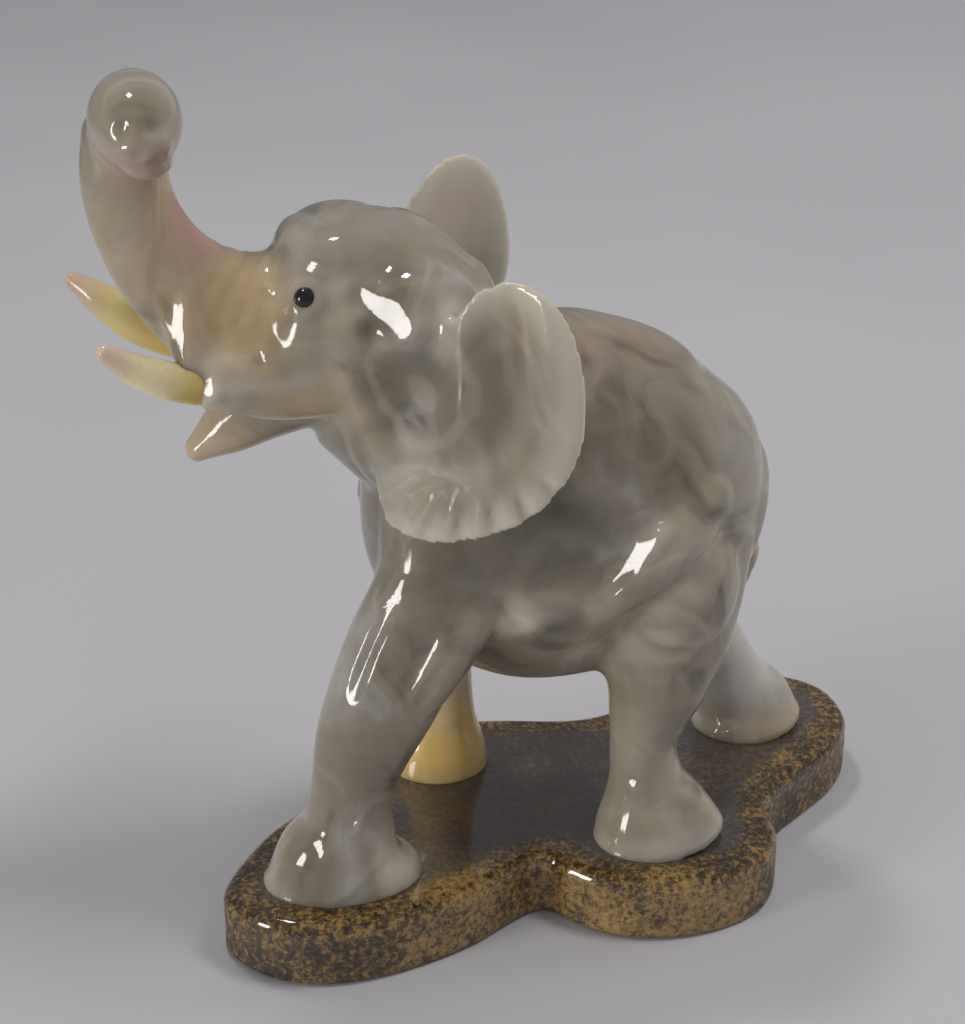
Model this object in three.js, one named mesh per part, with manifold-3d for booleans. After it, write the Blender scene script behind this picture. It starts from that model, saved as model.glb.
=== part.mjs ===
// A carved stone elephant with its trunk raised, standing on a lobed granite slab.
// Millimetres, +Z up. The elephant faces -X and its left side is towards -Y.
// The body is one carving: torso, head, trunk, lower lip, ears, legs and tail are swept
// forms that run into each other. The tusks and eyes are separate stones let into sockets,
// and the slab is a piece of its own under the feet.

import * as THREE from "three";
import { mergeVertices } from "three/addons/utils/BufferGeometryUtils.js";
import Module from "manifold-3d";

const wasm = await Module();
wasm.setup();

// Driving dimensions
const SLAB_HEIGHT = 17; // table to the polished top that the feet stand on
const SLAB_ROUNDING = 3; // radius of the slab's top and bottom edges
const FIT_GAP = 0.3; // clearance between touching pieces
const FOOT_LEVEL = SLAB_HEIGHT + FIT_GAP;
const EYE_RADIUS = 2.5;
const EAR_THICKNESS = 4.4;
const LEFT = -1; // the sign of Y on the elephant's left side
const RIGHT = 1;

// Colours
const AGATE = { color: 0x85826f, roughness: 0.12, metalness: 0.0 };
const HONEY_STONE = { color: 0xb79f5a, roughness: 0.2, metalness: 0.0 };
const JET = { color: 0x0a0a0c, roughness: 0.05, metalness: 0.0 };
const GRANITE = { color: 0x4d4034, roughness: 0.25, metalness: 0.0 };

// Swept forms

// The centre line of a swept form, and its two radii, read at any share of its length.
function sweepLine(stations) {
  const centres = new THREE.CatmullRomCurve3(
    stations.map(([x, y, z]) => new THREE.Vector3(x, y, z)),
    false,
    "centripetal",
  );
  const radii = new THREE.CatmullRomCurve3(
    stations.map(([, , , side, height], i) => new THREE.Vector3(side, height, i * 0.001)),
    false,
    "catmullrom",
    0.5,
  );
  return { centres, radii };
}

// How a swept end closes: rings from the pole to the full section, each with its share of
// the radius and its share of the cap's length.
function roundCap(rings) {
  return Array.from({ length: rings }, (_, i) => {
    const angle = ((i / rings) * Math.PI) / 2;
    return { scale: Math.sin(angle), reach: Math.cos(angle) };
  });
}

// A flat end whose edge is turned in to this share of the section's radius.
function flatCap(edge = 0.94) {
  return [
    { scale: 0, reach: 1 },
    { scale: edge, reach: 1 },
  ];
}

// A closed body swept through stations of [x, y, z, side radius, height radius].
// The side radius lies along Y, turned to stay square to the line.
function sweep(stations, { around, steps, startCap, startLength, endCap, endLength }) {
  const { centres, radii } = sweepLine(stations);
  const rings = [];
  for (const { scale, reach } of startCap) {
    rings.push({ t: 0, scale, push: -reach * startLength });
  }
  for (let i = 0; i <= steps; i++) {
    rings.push({ t: i / steps, scale: 1, push: 0 });
  }
  for (const { scale, reach } of [...endCap].reverse()) {
    rings.push({ t: 1, scale, push: reach * endLength });
  }
  const geometry = new THREE.SphereGeometry(1, around, rings.length - 1);
  const position = geometry.getAttribute("position");
  const sideways = new THREE.Vector3(0, 1, 0);
  rings.forEach(({ t, scale, push }, row) => {
    const centre = centres.getPoint(t);
    const along = centres.getTangent(t);
    const side = sideways.clone().addScaledVector(along, -sideways.dot(along)).normalize();
    const height = along.clone().cross(side);
    const radius = radii.getPoint(t);
    centre.addScaledVector(along, push);
    for (let column = 0; column <= around; column++) {
      const angle = (column / around) * 2 * Math.PI;
      const point = centre
        .clone()
        .addScaledVector(side, -Math.cos(angle) * scale * radius.x)
        .addScaledVector(height, Math.sin(angle) * scale * radius.y);
      position.setXYZ(row * (around + 1) + column, point.x, point.y, point.z);
    }
  });
  return geometry;
}

function ellipsoid([x, y, z], [rx, ry, rz], around, rows) {
  return new THREE.SphereGeometry(1, around, rows).scale(rx, ry, rz).translate(x, y, z);
}

// Solids

function solid(geometry) {
  const bare = geometry.clone();
  bare.deleteAttribute("normal");
  bare.deleteAttribute("uv");
  const merged = mergeVertices(bare, 1e-4);
  return new wasm.Manifold(
    new wasm.Mesh({
      numProp: 3,
      vertProperties: merged.getAttribute("position").array,
      triVerts: new Uint32Array(merged.getIndex().array),
    }),
  );
}

function joined(geometries) {
  return geometries.map(solid).reduce((whole, piece) => whole.add(piece));
}

function geometryOf(manifold) {
  const mesh = manifold.getMesh();
  const geometry = new THREE.BufferGeometry();
  geometry.setAttribute("position", new THREE.BufferAttribute(mesh.vertProperties, 3));
  geometry.setIndex(new THREE.BufferAttribute(mesh.triVerts, 1));
  geometry.computeVertexNormals();
  return geometry;
}

// The elephant's parts

// Each table's rows are [x, y, z, side radius, height radius] along a part.
function torso() {
  const stations = [
    [-15, 3, 111, 22, 27],
    [-5, 3, 109.5, 29, 38],
    [14, 4, 105, 34, 46.5],
    [31, 5, 101.5, 34.5, 46],
    [44, 6, 98, 32.5, 42],
    [55, 6.5, 95, 28.5, 34.5],
    [62, 7, 92, 23, 26],
  ];
  return sweep(stations, {
    around: 24,
    steps: 10,
    startCap: roundCap(3),
    startLength: 10,
    endCap: roundCap(3),
    endLength: 9,
  });
}

function neck() {
  const stations = [
    [12, 4, 121, 25, 26],
    [-4, 1, 132, 25, 28],
    [-20, 0, 144, 23, 25],
  ];
  return sweep(stations, {
    around: 24,
    steps: 5,
    startCap: roundCap(2),
    startLength: 10,
    endCap: roundCap(2),
    endLength: 10,
  });
}

function skull() {
  const stations = [
    [-4, 0, 150, 22, 17.5],
    [-16, 0, 153.5, 27.5, 23.5],
    [-29, 0, 156, 27, 24],
    [-40, 0, 157.5, 21.5, 19],
  ];
  return sweep(stations, {
    around: 24,
    steps: 7,
    startCap: roundCap(3),
    startLength: 9,
    endCap: roundCap(3),
    endLength: 9,
  });
}

function browDome(side) {
  return ellipsoid([-28.5, side * 9, 170.3], [13.5, 10.5, 9], 16, 8);
}

// The forehead's steep front, over the trunk's base.
function forehead() {
  return ellipsoid([-37.5, 0, 170.5], [7, 14, 8.5], 14, 8);
}

function temple(side) {
  return ellipsoid([-16, side * 17, 160], [13, 13.5, 13], 14, 8);
}

// The cheek's back edge, which runs over into the ear's front.
function jowl(side) {
  return ellipsoid([-20, side * 16.5, 137], [12, 10.5, 19], 12, 8);
}

function trunk() {
  const stations = [
    [-34, 0, 154, 18, 17],
    [-46, 0, 155, 16, 16.5],
    [-57, 0, 159, 13.3, 14.3],
    [-67.3, 0, 168, 11.3, 11.6],
    [-73.4, 0, 179, 10.2, 10.2],
    [-75.8, 0, 190, 9.5, 9.6],
    [-75, 0, 199, 9.4, 9.4],
  ];
  return sweep(stations, {
    around: 18,
    steps: 16,
    startCap: roundCap(2),
    startLength: 8,
    endCap: roundCap(3),
    endLength: 8,
  });
}

// The trunk's tip, rolled over towards the elephant's left.
function trunkTip() {
  return ellipsoid([-73, -7, 204.2], [10, 16.8, 10.4], 16, 10);
}

// The flesh that runs from the cheek along under the trunk and ends around a tusk's root.
function tuskSheath(side) {
  const stations = [
    [-36, side * 12, 149, 11, 13],
    [-47, side * 12.3, 146.8, 8.8, 10.4],
    [-57, side * 12.4, 147, 6.8, 8.2],
    [-62.5, side * 12.8, 147, 5.8, 6.6],
  ];
  return sweep(stations, {
    around: 16,
    steps: 7,
    startCap: roundCap(2),
    startLength: 5,
    endCap: roundCap(2),
    endLength: 1.2,
  });
}

function lowerLip() {
  const stations = [
    [-34, 0, 142, 14, 11],
    [-47, 0, 136.3, 10.2, 9],
    [-57, 0, 130.1, 7.2, 6.4],
    [-63.8, 0, 125.6, 4.2, 3],
  ];
  return sweep(stations, {
    around: 16,
    steps: 8,
    startCap: roundCap(2),
    startLength: 6,
    endCap: roundCap(2),
    endLength: 3,
  });
}

function leg(stations) {
  return sweep(stations, {
    around: 16,
    steps: 12,
    startCap: roundCap(2),
    startLength: 10,
    endCap: flatCap(),
    endLength: 1.2,
  });
}

// Each leg from inside the torso down to its foot, which runs a little past the foot level
// and is cut flat at it.
const LEGS = {
  nearFront: [
    [-5, -10, 106, 15, 19],
    [-9.5, -14, 92, 14, 16],
    [-19.5, -18, 77, 13.2, 14.3],
    [-25, -19, 65.5, 12.6, 13.4],
    [-30, -19, 53.5, 11.4, 11.8],
    [-33.2, -19, 41.5, 9.9, 9.9],
    [-34.2, -19, 32, 11, 11.3],
    [-36, -19, 24, 13.2, 16.2],
    [-36, -19, FOOT_LEVEL, 14.2, 20],
  ],
  farFront: [
    [-6, 14, 104, 15, 19],
    [-6, 19, 86, 13.5, 16],
    [-5, 25, 66, 11.8, 12.5],
    [-3.5, 28, 50, 10, 10],
    [-2.5, 28, 40.5, 8.6, 8.6],
    [-2.5, 28, 31, 9.4, 9.6],
    [-2.7, 28, 24, 11.4, 12],
    [-3, 28, FOOT_LEVEL, 12.6, 13.4],
  ],
  nearHind: [
    [47, -9, 98, 16, 22],
    [46, -13, 82, 15, 19],
    [44.5, -15, 68.5, 13, 16.5],
    [43.6, -16, 60, 11.2, 13],
    [42, -16, 52, 9.6, 10.3],
    [40.8, -16, 43.2, 8.5, 8.5],
    [41.8, -16, 33.6, 9.5, 9.5],
    [43.4, -16.5, 25, 12.2, 14],
    [44.8, -17.5, FOOT_LEVEL, 14, 17.3],
  ],
  farHind: [
    [50, 17, 96, 17, 21],
    [54, 23, 78, 14.5, 17],
    [62, 28, 62, 12, 13.2],
    [70, 31, 49, 9.6, 10.2],
    [76.3, 32, 38.5, 8.4, 8.6],
    [80.3, 32, 29.5, 10, 10.6],
    [83.2, 32, 23.5, 12, 13.6],
    [84.6, 31.5, FOOT_LEVEL, 14, 15.8],
  ],
};

function tail() {
  const stations = [
    [58, 7, 120, 3.6, 3.6],
    [68, 7.5, 109, 2.8, 2.8],
    [72, 8, 97, 2.2, 2.2],
    [73.5, 8.5, 88, 2.4, 2.4],
    [74.5, 9, 80.5, 2.8, 2.8],
    [73.5, 9, 74, 1.8, 1.8],
  ];
  return sweep(stations, {
    around: 8,
    steps: 9,
    startCap: roundCap(2),
    startLength: 3,
    endCap: roundCap(2),
    endLength: 3,
  });
}

// The ear's rim as seen from the side, as [x, z], from the back round over the top.
const EAR_RIM = [
  [14, 147],
  [13.7, 156],
  [11.3, 166],
  [6.6, 172.6],
  [1.2, 174.3],
  [-4.8, 171.2],
  [-10.5, 164],
  [-19, 155],
  [-26, 143],
  [-27, 131],
  [-26, 122],
  [-24, 116.2],
  [-17, 115],
  [-7, 118.4],
  [3, 124.4],
  [10.2, 133],
  [13.2, 140],
];
const EAR_CENTRE = [-6, 145];
const EAR_ROOT_TOP = [-17, 166]; // the ear flares away from a line between these two points
const EAR_ROOT_FOOT = [-29, 118];
const EAR_ROOT_Y = 25;
const EAR_FLARE = 27;
const EAR_FLARE_REACH = 36; // how far from the root line the full flare is reached
const EAR_LIFT = { [LEFT]: 0, [RIGHT]: 5 }; // the right ear is held higher and further back
const EAR_SWEEP_BACK = { [LEFT]: 0, [RIGHT]: 7 };

// The share of its full flare that the ear has at a point seen from the side.
function earShare(x, z) {
  const rootX = EAR_ROOT_TOP[0] - EAR_ROOT_FOOT[0];
  const rootZ = EAR_ROOT_TOP[1] - EAR_ROOT_FOOT[1];
  const rootLength = Math.hypot(rootX, rootZ);
  const away =
    ((x - EAR_ROOT_FOOT[0]) * rootZ - (z - EAR_ROOT_FOOT[1]) * rootX) / rootLength;
  return THREE.MathUtils.clamp(away / EAR_FLARE_REACH, 0, 1.1);
}

// One ear: a sheet of stone inside the rim, thick at its middle and round at its edge.
function ear(side) {
  const around = 30;
  const rows = 8;
  const rim = new THREE.CatmullRomCurve3(
    EAR_RIM.map(([x, z]) => new THREE.Vector3(x, 0, z)),
    true,
    "centripetal",
  );
  const geometry = new THREE.SphereGeometry(1, around, rows);
  const position = geometry.getAttribute("position");
  for (let row = 0; row <= rows; row++) {
    const polar = (row / rows) * Math.PI;
    const spread = Math.sin(polar) ** 0.8; // 0 at the ear's middle, 1 at its rim
    const outer = Math.sign(Math.cos(polar)) * Math.sqrt(Math.abs(Math.cos(polar)));
    for (let column = 0; column <= around; column++) {
      const edge = rim.getPoint(((around - column * side) % around) / around);
      const x = EAR_CENTRE[0] + spread * (edge.x - EAR_CENTRE[0]);
      const z = EAR_CENTRE[1] + spread * (edge.z - EAR_CENTRE[1]);
      const share = earShare(x, z);
      const out = EAR_ROOT_Y + EAR_FLARE * Math.sin((share * Math.PI) / 2.2);
      position.setXYZ(
        row * (around + 1) + column,
        x + EAR_SWEEP_BACK[side] * share,
        side * (out + (outer * EAR_THICKNESS) / 2),
        z + EAR_LIFT[side],
      );
    }
  }
  return geometry;
}

// Tusks and eyes

// Each tusk's rows are [x, y, z, radius]; the right one is longer and thicker.
const TUSKS = {
  [LEFT]: [
    [-57, -12, 145.8, 4],
    [-63, -13, 146, 4.4],
    [-70, -16, 148.7, 4.3],
    [-77.5, -18.4, 153, 3.5],
    [-83.7, -19.7, 157.6, 1.9],
  ],
  [RIGHT]: [
    [-57, 12, 146.8, 4.6],
    [-65, 13, 147.8, 4.8],
    [-75, 15, 151.6, 4.6],
    [-83, 18.9, 157, 3.8],
    [-88.6, 21.4, 161, 1.9],
  ],
};

function tusk(side, grow = 0) {
  const stations = TUSKS[side].map(([x, y, z, radius]) => [x, y, z, radius + grow, radius + grow]);
  return sweep(stations, {
    around: 12,
    steps: 9,
    startCap: flatCap(),
    startLength: 0.6 + grow,
    endCap: roundCap(2),
    endLength: 1.5,
  });
}

const EYE_PLACE = [-39.8, 17.6, 166];

function eye(side, grow = 0) {
  const [x, y, z] = EYE_PLACE;
  const radius = EYE_RADIUS + grow;
  return ellipsoid([x, side * y, z], [radius, radius, radius], 14, 8);
}

// The slab

// The slab's widest line seen from above, as [x, y], one lobe under each foot.
const SLAB_OUTLINE = [
  [-66, -20],
  [-62.5, -29],
  [-55, -36.5],
  [-45, -40.5],
  [-33, -41],
  [-20, -38.2],
  [-6, -32.8],
  [5, -26],
  [11.5, -22.6],
  [15.5, -22.8],
  [19, -27.5],
  [25.5, -34],
  [34, -38.5],
  [46, -40.5],
  [59, -38.5],
  [69, -33],
  [75, -24],
  [78, -10],
  [84, -2],
  [94, 6],
  [106, 16],
  [113.5, 28],
  [113.5, 43],
  [106, 53],
  [95, 57],
  [70, 54],
  [42, 43],
  [18, 47],
  [-6, 50],
  [-26, 40],
  [-36, 20],
  [-54, 2],
];

function slab() {
  const line = new THREE.CatmullRomCurve3(
    SLAB_OUTLINE.map(([x, y]) => new THREE.Vector3(x, y, 0)),
    true,
    "centripetal",
  );
  const points = line.getSpacedPoints(60).slice(0, -1);
  const shape = new THREE.Shape(points.map((p) => new THREE.Vector2(p.x, p.y)));
  return new THREE.ExtrudeGeometry(shape, {
    depth: SLAB_HEIGHT - 2 * SLAB_ROUNDING,
    bevelEnabled: true,
    bevelThickness: SLAB_ROUNDING,
    bevelSize: SLAB_ROUNDING,
    bevelOffset: -SLAB_ROUNDING,
    bevelSegments: 2,
  }).translate(0, 0, SLAB_ROUNDING);
}

// The whole figure

const carving = joined([
  torso(),
  neck(),
  skull(),
  browDome(LEFT),
  browDome(RIGHT),
  forehead(),
  temple(LEFT),
  temple(RIGHT),
  jowl(LEFT),
  jowl(RIGHT),
  trunk(),
  trunkTip(),
  tuskSheath(LEFT),
  tuskSheath(RIGHT),
  lowerLip(),
  leg(LEGS.nearFront),
  leg(LEGS.farFront),
  leg(LEGS.nearHind),
  leg(LEGS.farHind),
  tail(),
  ear(LEFT),
  ear(RIGHT),
]);

// Everything under the feet's level, so that they end flat.
function underFeet() {
  const width = 400;
  const depth = 40;
  return new THREE.BoxGeometry(width, width, depth).translate(0, 0, FOOT_LEVEL - depth / 2);
}

const cutAway = joined([
  underFeet(),
  tusk(LEFT, FIT_GAP),
  tusk(RIGHT, FIT_GAP),
  eye(LEFT, FIT_GAP),
  eye(RIGHT, FIT_GAP),
]);

function named(name, geometry, look) {
  const mesh = new THREE.Mesh(geometry, new THREE.MeshStandardMaterial(look));
  mesh.name = name;
  return mesh;
}

const figure = new THREE.Group();
figure.add(
  named("elephant_body", geometryOf(carving.subtract(cutAway)), AGATE),
  named("tusk_left", tusk(LEFT), HONEY_STONE),
  named("tusk_right", tusk(RIGHT), HONEY_STONE),
  named("eye_left", eye(LEFT), JET),
  named("eye_right", eye(RIGHT), JET),
  named("slab", slab(), GRANITE),
);

// The origin lies at the middle of the figure's box, on the surface that it stands on.
const middle = new THREE.Box3().setFromObject(figure).getCenter(new THREE.Vector3());
figure.position.set(-middle.x, -middle.y, 0);

export default figure;
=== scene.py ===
"""A carved agate elephant with its trunk raised, on a lobed slab of polished granite.

The shapes are worked out in millimetres in the carver's frame: the elephant faces -X, its left
side is towards -Y and the table is z = 0. Shop.mesh_object() then brings each piece into the
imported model's frame, in metres.
"""

from __future__ import annotations

import logging
import math
from dataclasses import dataclass, field
from enum import Enum
from typing import Callable, Sequence

import bmesh
import bpy
import numpy as np
from mathutils import Matrix, Vector, noise
from mathutils.bvhtree import BVHTree
from mathutils.kdtree import KDTree

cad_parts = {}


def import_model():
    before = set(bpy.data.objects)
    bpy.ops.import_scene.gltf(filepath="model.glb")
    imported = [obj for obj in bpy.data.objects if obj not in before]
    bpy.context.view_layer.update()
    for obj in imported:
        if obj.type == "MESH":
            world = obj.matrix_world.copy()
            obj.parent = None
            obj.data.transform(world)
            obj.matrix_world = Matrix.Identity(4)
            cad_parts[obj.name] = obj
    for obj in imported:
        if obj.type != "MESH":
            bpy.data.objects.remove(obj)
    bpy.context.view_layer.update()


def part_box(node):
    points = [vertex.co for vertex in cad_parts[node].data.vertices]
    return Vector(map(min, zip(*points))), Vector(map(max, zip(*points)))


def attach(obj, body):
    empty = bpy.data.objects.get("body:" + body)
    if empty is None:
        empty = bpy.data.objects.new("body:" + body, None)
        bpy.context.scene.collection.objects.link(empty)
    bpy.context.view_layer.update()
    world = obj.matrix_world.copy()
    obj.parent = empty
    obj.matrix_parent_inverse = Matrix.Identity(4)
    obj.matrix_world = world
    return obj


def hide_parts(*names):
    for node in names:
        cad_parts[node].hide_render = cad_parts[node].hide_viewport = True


LOG = logging.getLogger("elephant")

Station = tuple[float, float, float, float, float]
Point3 = tuple[float, float, float]
Pair = tuple[float, float]
Colour = tuple[float, float, float]
Shape = Callable[[float, float], float]
Inputs = dict[str | int, object]
Socket = bpy.types.NodeSocket

MM = 0.001

# What several pieces share, in millimetres: the right eye's place and the slab's height.
EYE: Point3 = (-39.8, 17.6, 166.0)
SLAB_HEIGHT = 17.0

# A face whose normal is this near upright counts as level and stays flat-shaded.
UPRIGHT = 0.999

# How strongly quartz stones bend light.
QUARTZ_IOR = 1.54


class Side(Enum):
    """The elephant's own left and right, by the sign of Y."""

    LEFT = -1
    RIGHT = 1


def smoothstep(low: float, high: float, value: float) -> float:
    """Returns a soft step from 0 at low to 1 at high."""
    share = min(max((value - low) / (high - low), 0.0), 1.0)
    return share * share * (3.0 - 2.0 * share)


def bump(centre: float, width: float, value: float) -> float:
    """Returns a bell of height 1 at centre that has fallen to 0.37 one width away."""
    return math.exp(-(((value - centre) / width) ** 2))


def spline(points: Sequence[Vector], share: float, closed: bool = False, even: bool = False) -> Vector:
    """Reads a smooth curve through points.

    Args:
        points: the points that the curve passes through.
        share: how far along the curve, from 0 to 1.
        closed: whether the last point runs on to the first.
        even: whether all stretches count as equally long.

    Returns:
        The curve's point at that share.
    """
    count = len(points)
    place = share * (count if closed else count - 1)
    step = math.floor(place)
    weight = place - step
    if not closed and step >= count - 1:
        step, weight = count - 2, 1.0
    here, after = points[step % count], points[(step + 1) % count]
    before = points[(step - 1) % count] if closed or step > 0 else 2 * here - after
    beyond = points[(step + 2) % count] if closed or step + 2 < count else 2 * after - here
    if even:
        leave, arrive = 0.5 * (after - before), 0.5 * (beyond - here)
    else:
        pairs = ((before, here), (here, after), (after, beyond))
        first, middle, last = (math.sqrt(max((far - near).length, 1e-6)) for near, far in pairs)
        leave = middle * (
            (here - before) / first - (after - before) / (first + middle) + (after - here) / middle
        )
        arrive = middle * (
            (after - here) / middle - (beyond - here) / (middle + last) + (beyond - after) / last
        )
    cubic = 2 * here - 2 * after + leave + arrive
    square = -3 * here + 3 * after - 2 * leave - arrive
    return ((cubic * weight + square) * weight + leave) * weight + here


def sphere_angles(place: Vector) -> Pair:
    """Returns where a point of the unit sphere lies: its angle from the pole and its angle around."""
    return math.acos(max(-1.0, min(1.0, place.z))), math.atan2(place.y, place.x)


def linked(name: str, data: bpy.types.ID) -> bpy.types.Object:
    """Makes an object that holds the data, linked into the scene.

    Args:
        name: the object's name.
        data: its mesh, lamp or camera.

    Returns:
        The object.
    """
    made = bpy.data.objects.new(name, data)
    bpy.context.scene.collection.objects.link(made)
    return made


@dataclass(frozen=True)
class Ring:
    """One ring of a swept form: its share of the length, of the radii and its push along."""

    share: float
    scale: float
    push: float


@dataclass
class Sweep:
    """A closed form swept through stations of x, y, z, side radius and height radius.

    Its two ends are rounded and reach start and end millimetres past the stations. A flat end
    is one level face that far out, and its rim keeps flat_rim of the last radii.
    """

    stations: Sequence[Station]
    start: float
    end: float
    around: int = 56
    steps: int = 60
    cap_rows: int = 10
    flat_end: bool = False
    flat_rim: float = 0.97
    shape: Shape | None = None

    def rings(self) -> list[Ring]:
        """Lays out the rings from the start's pole to the end's.

        Returns:
            The rings, in order.
        """
        turns = [row / self.cap_rows * math.pi / 2 for row in range(self.cap_rows)]
        opening = [Ring(0.0, math.sin(turn), -math.cos(turn) * self.start) for turn in turns]
        middle = [Ring(row / self.steps, 1.0, 0.0) for row in range(self.steps + 1)]
        if self.flat_end:
            closing = [Ring(1.0, self.flat_rim, self.end), Ring(1.0, 0.0, self.end)]
        else:
            closing = [Ring(1.0, math.sin(turn), math.cos(turn) * self.end) for turn in reversed(turns)]
        return opening + middle + closing

    def centre(self, share: float) -> Vector:
        """Returns the centre line's point at a share of the length."""
        return spline([Vector(row[:3]) for row in self.stations], share)

    def section(self, ring: Ring) -> tuple[Vector, Vector, Vector]:
        """Works out where a ring lies.

        Args:
            ring: the ring.

        Returns:
            Its centre, and its side and height radii as vectors.
        """
        radii = spline([Vector((*row[3:], 0.0)) for row in self.stations], ring.share, even=True)
        nudge = 1e-4
        behind = self.centre(max(ring.share - nudge, 0.0))
        ahead = self.centre(min(ring.share + nudge, 1.0))
        along = (ahead - behind).normalized()
        across = Vector((0.0, 1.0, 0.0))
        side = (across - along * across.dot(along)).normalized()
        centre = self.centre(ring.share) + along * ring.push
        return centre, side * ring.scale * radii.x, along.cross(side) * ring.scale * radii.y

    def build(self, bm: bmesh.types.BMesh) -> None:
        """Adds the swept form to a mesh, as a sphere whose rings are re-placed.

        Args:
            bm: the mesh that takes it.
        """
        rings = self.rings()
        sections = [self.section(ring) for ring in rings]
        last = len(rings) - 1
        made = bmesh.ops.create_uvsphere(bm, u_segments=self.around, v_segments=last, radius=1.0)
        for vert in made["verts"]:
            polar, angle = sphere_angles(vert.co)
            row = round(polar / math.pi * last)
            centre, side, height = sections[row]
            swell = self.shape(rings[row].share, angle) if self.shape else 1.0
            vert.co = centre + swell * (side * math.cos(angle) + height * math.sin(angle))


def ellipsoid(bm: bmesh.types.BMesh, centre: Point3, radii: Point3) -> None:
    """Adds an ellipsoid to a mesh.

    Args:
        bm: the mesh that takes it.
        centre: its middle.
        radii: its half sizes along X, Y and Z.
    """
    verts = bmesh.ops.create_uvsphere(bm, u_segments=48, v_segments=32, radius=1.0)["verts"]
    bmesh.ops.scale(bm, vec=Vector(radii), verts=verts)
    bmesh.ops.translate(bm, vec=Vector(centre), verts=verts)


class Pile:
    """Overlapping forms on their way to becoming one skin."""

    def __init__(self) -> None:
        """Starts an empty pile."""
        self.whole = bmesh.new()

    def add(self, make: Callable[[bmesh.types.BMesh], None]) -> None:
        """Adds one form, made in a mesh of its own.

        Args:
            make: builds the form in the mesh that it is given.
        """
        bm = bmesh.new()
        make(bm)
        bmesh.ops.recalc_face_normals(bm, faces=bm.faces)
        form = bpy.data.meshes.new("form")
        bm.to_mesh(form)
        bm.free()
        self.whole.from_mesh(form)
        bpy.data.meshes.remove(form)

    def blob(self, centre: Point3, radii: Point3) -> None:
        """Adds an ellipsoid."""
        self.add(lambda bm: ellipsoid(bm, centre, radii))

    def skin(self, voxel: float) -> bpy.types.Mesh:
        """Joins the forms into one even skin.

        Args:
            voxel: the size of the skin's faces, in millimetres.

        Returns:
            One closed mesh.
        """
        mesh = bpy.data.meshes.new("rough")
        self.whole.to_mesh(mesh)
        self.whole.free()
        holder = linked("rough", mesh)
        remesh = holder.modifiers.new("skin", "REMESH")
        remesh.mode = "VOXEL"
        remesh.voxel_size = voxel
        graph = bpy.context.evaluated_depsgraph_get()
        joined = bpy.data.meshes.new_from_object(holder.evaluated_get(graph))
        bpy.data.objects.remove(holder)
        bpy.data.meshes.remove(mesh)
        return joined


@dataclass(frozen=True)
class Facet:
    """A flat, polished spot: a line on the skin, how far it reaches and which way it faces."""

    start: Point3
    end: Point3
    width: float
    facing: Point3


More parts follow.
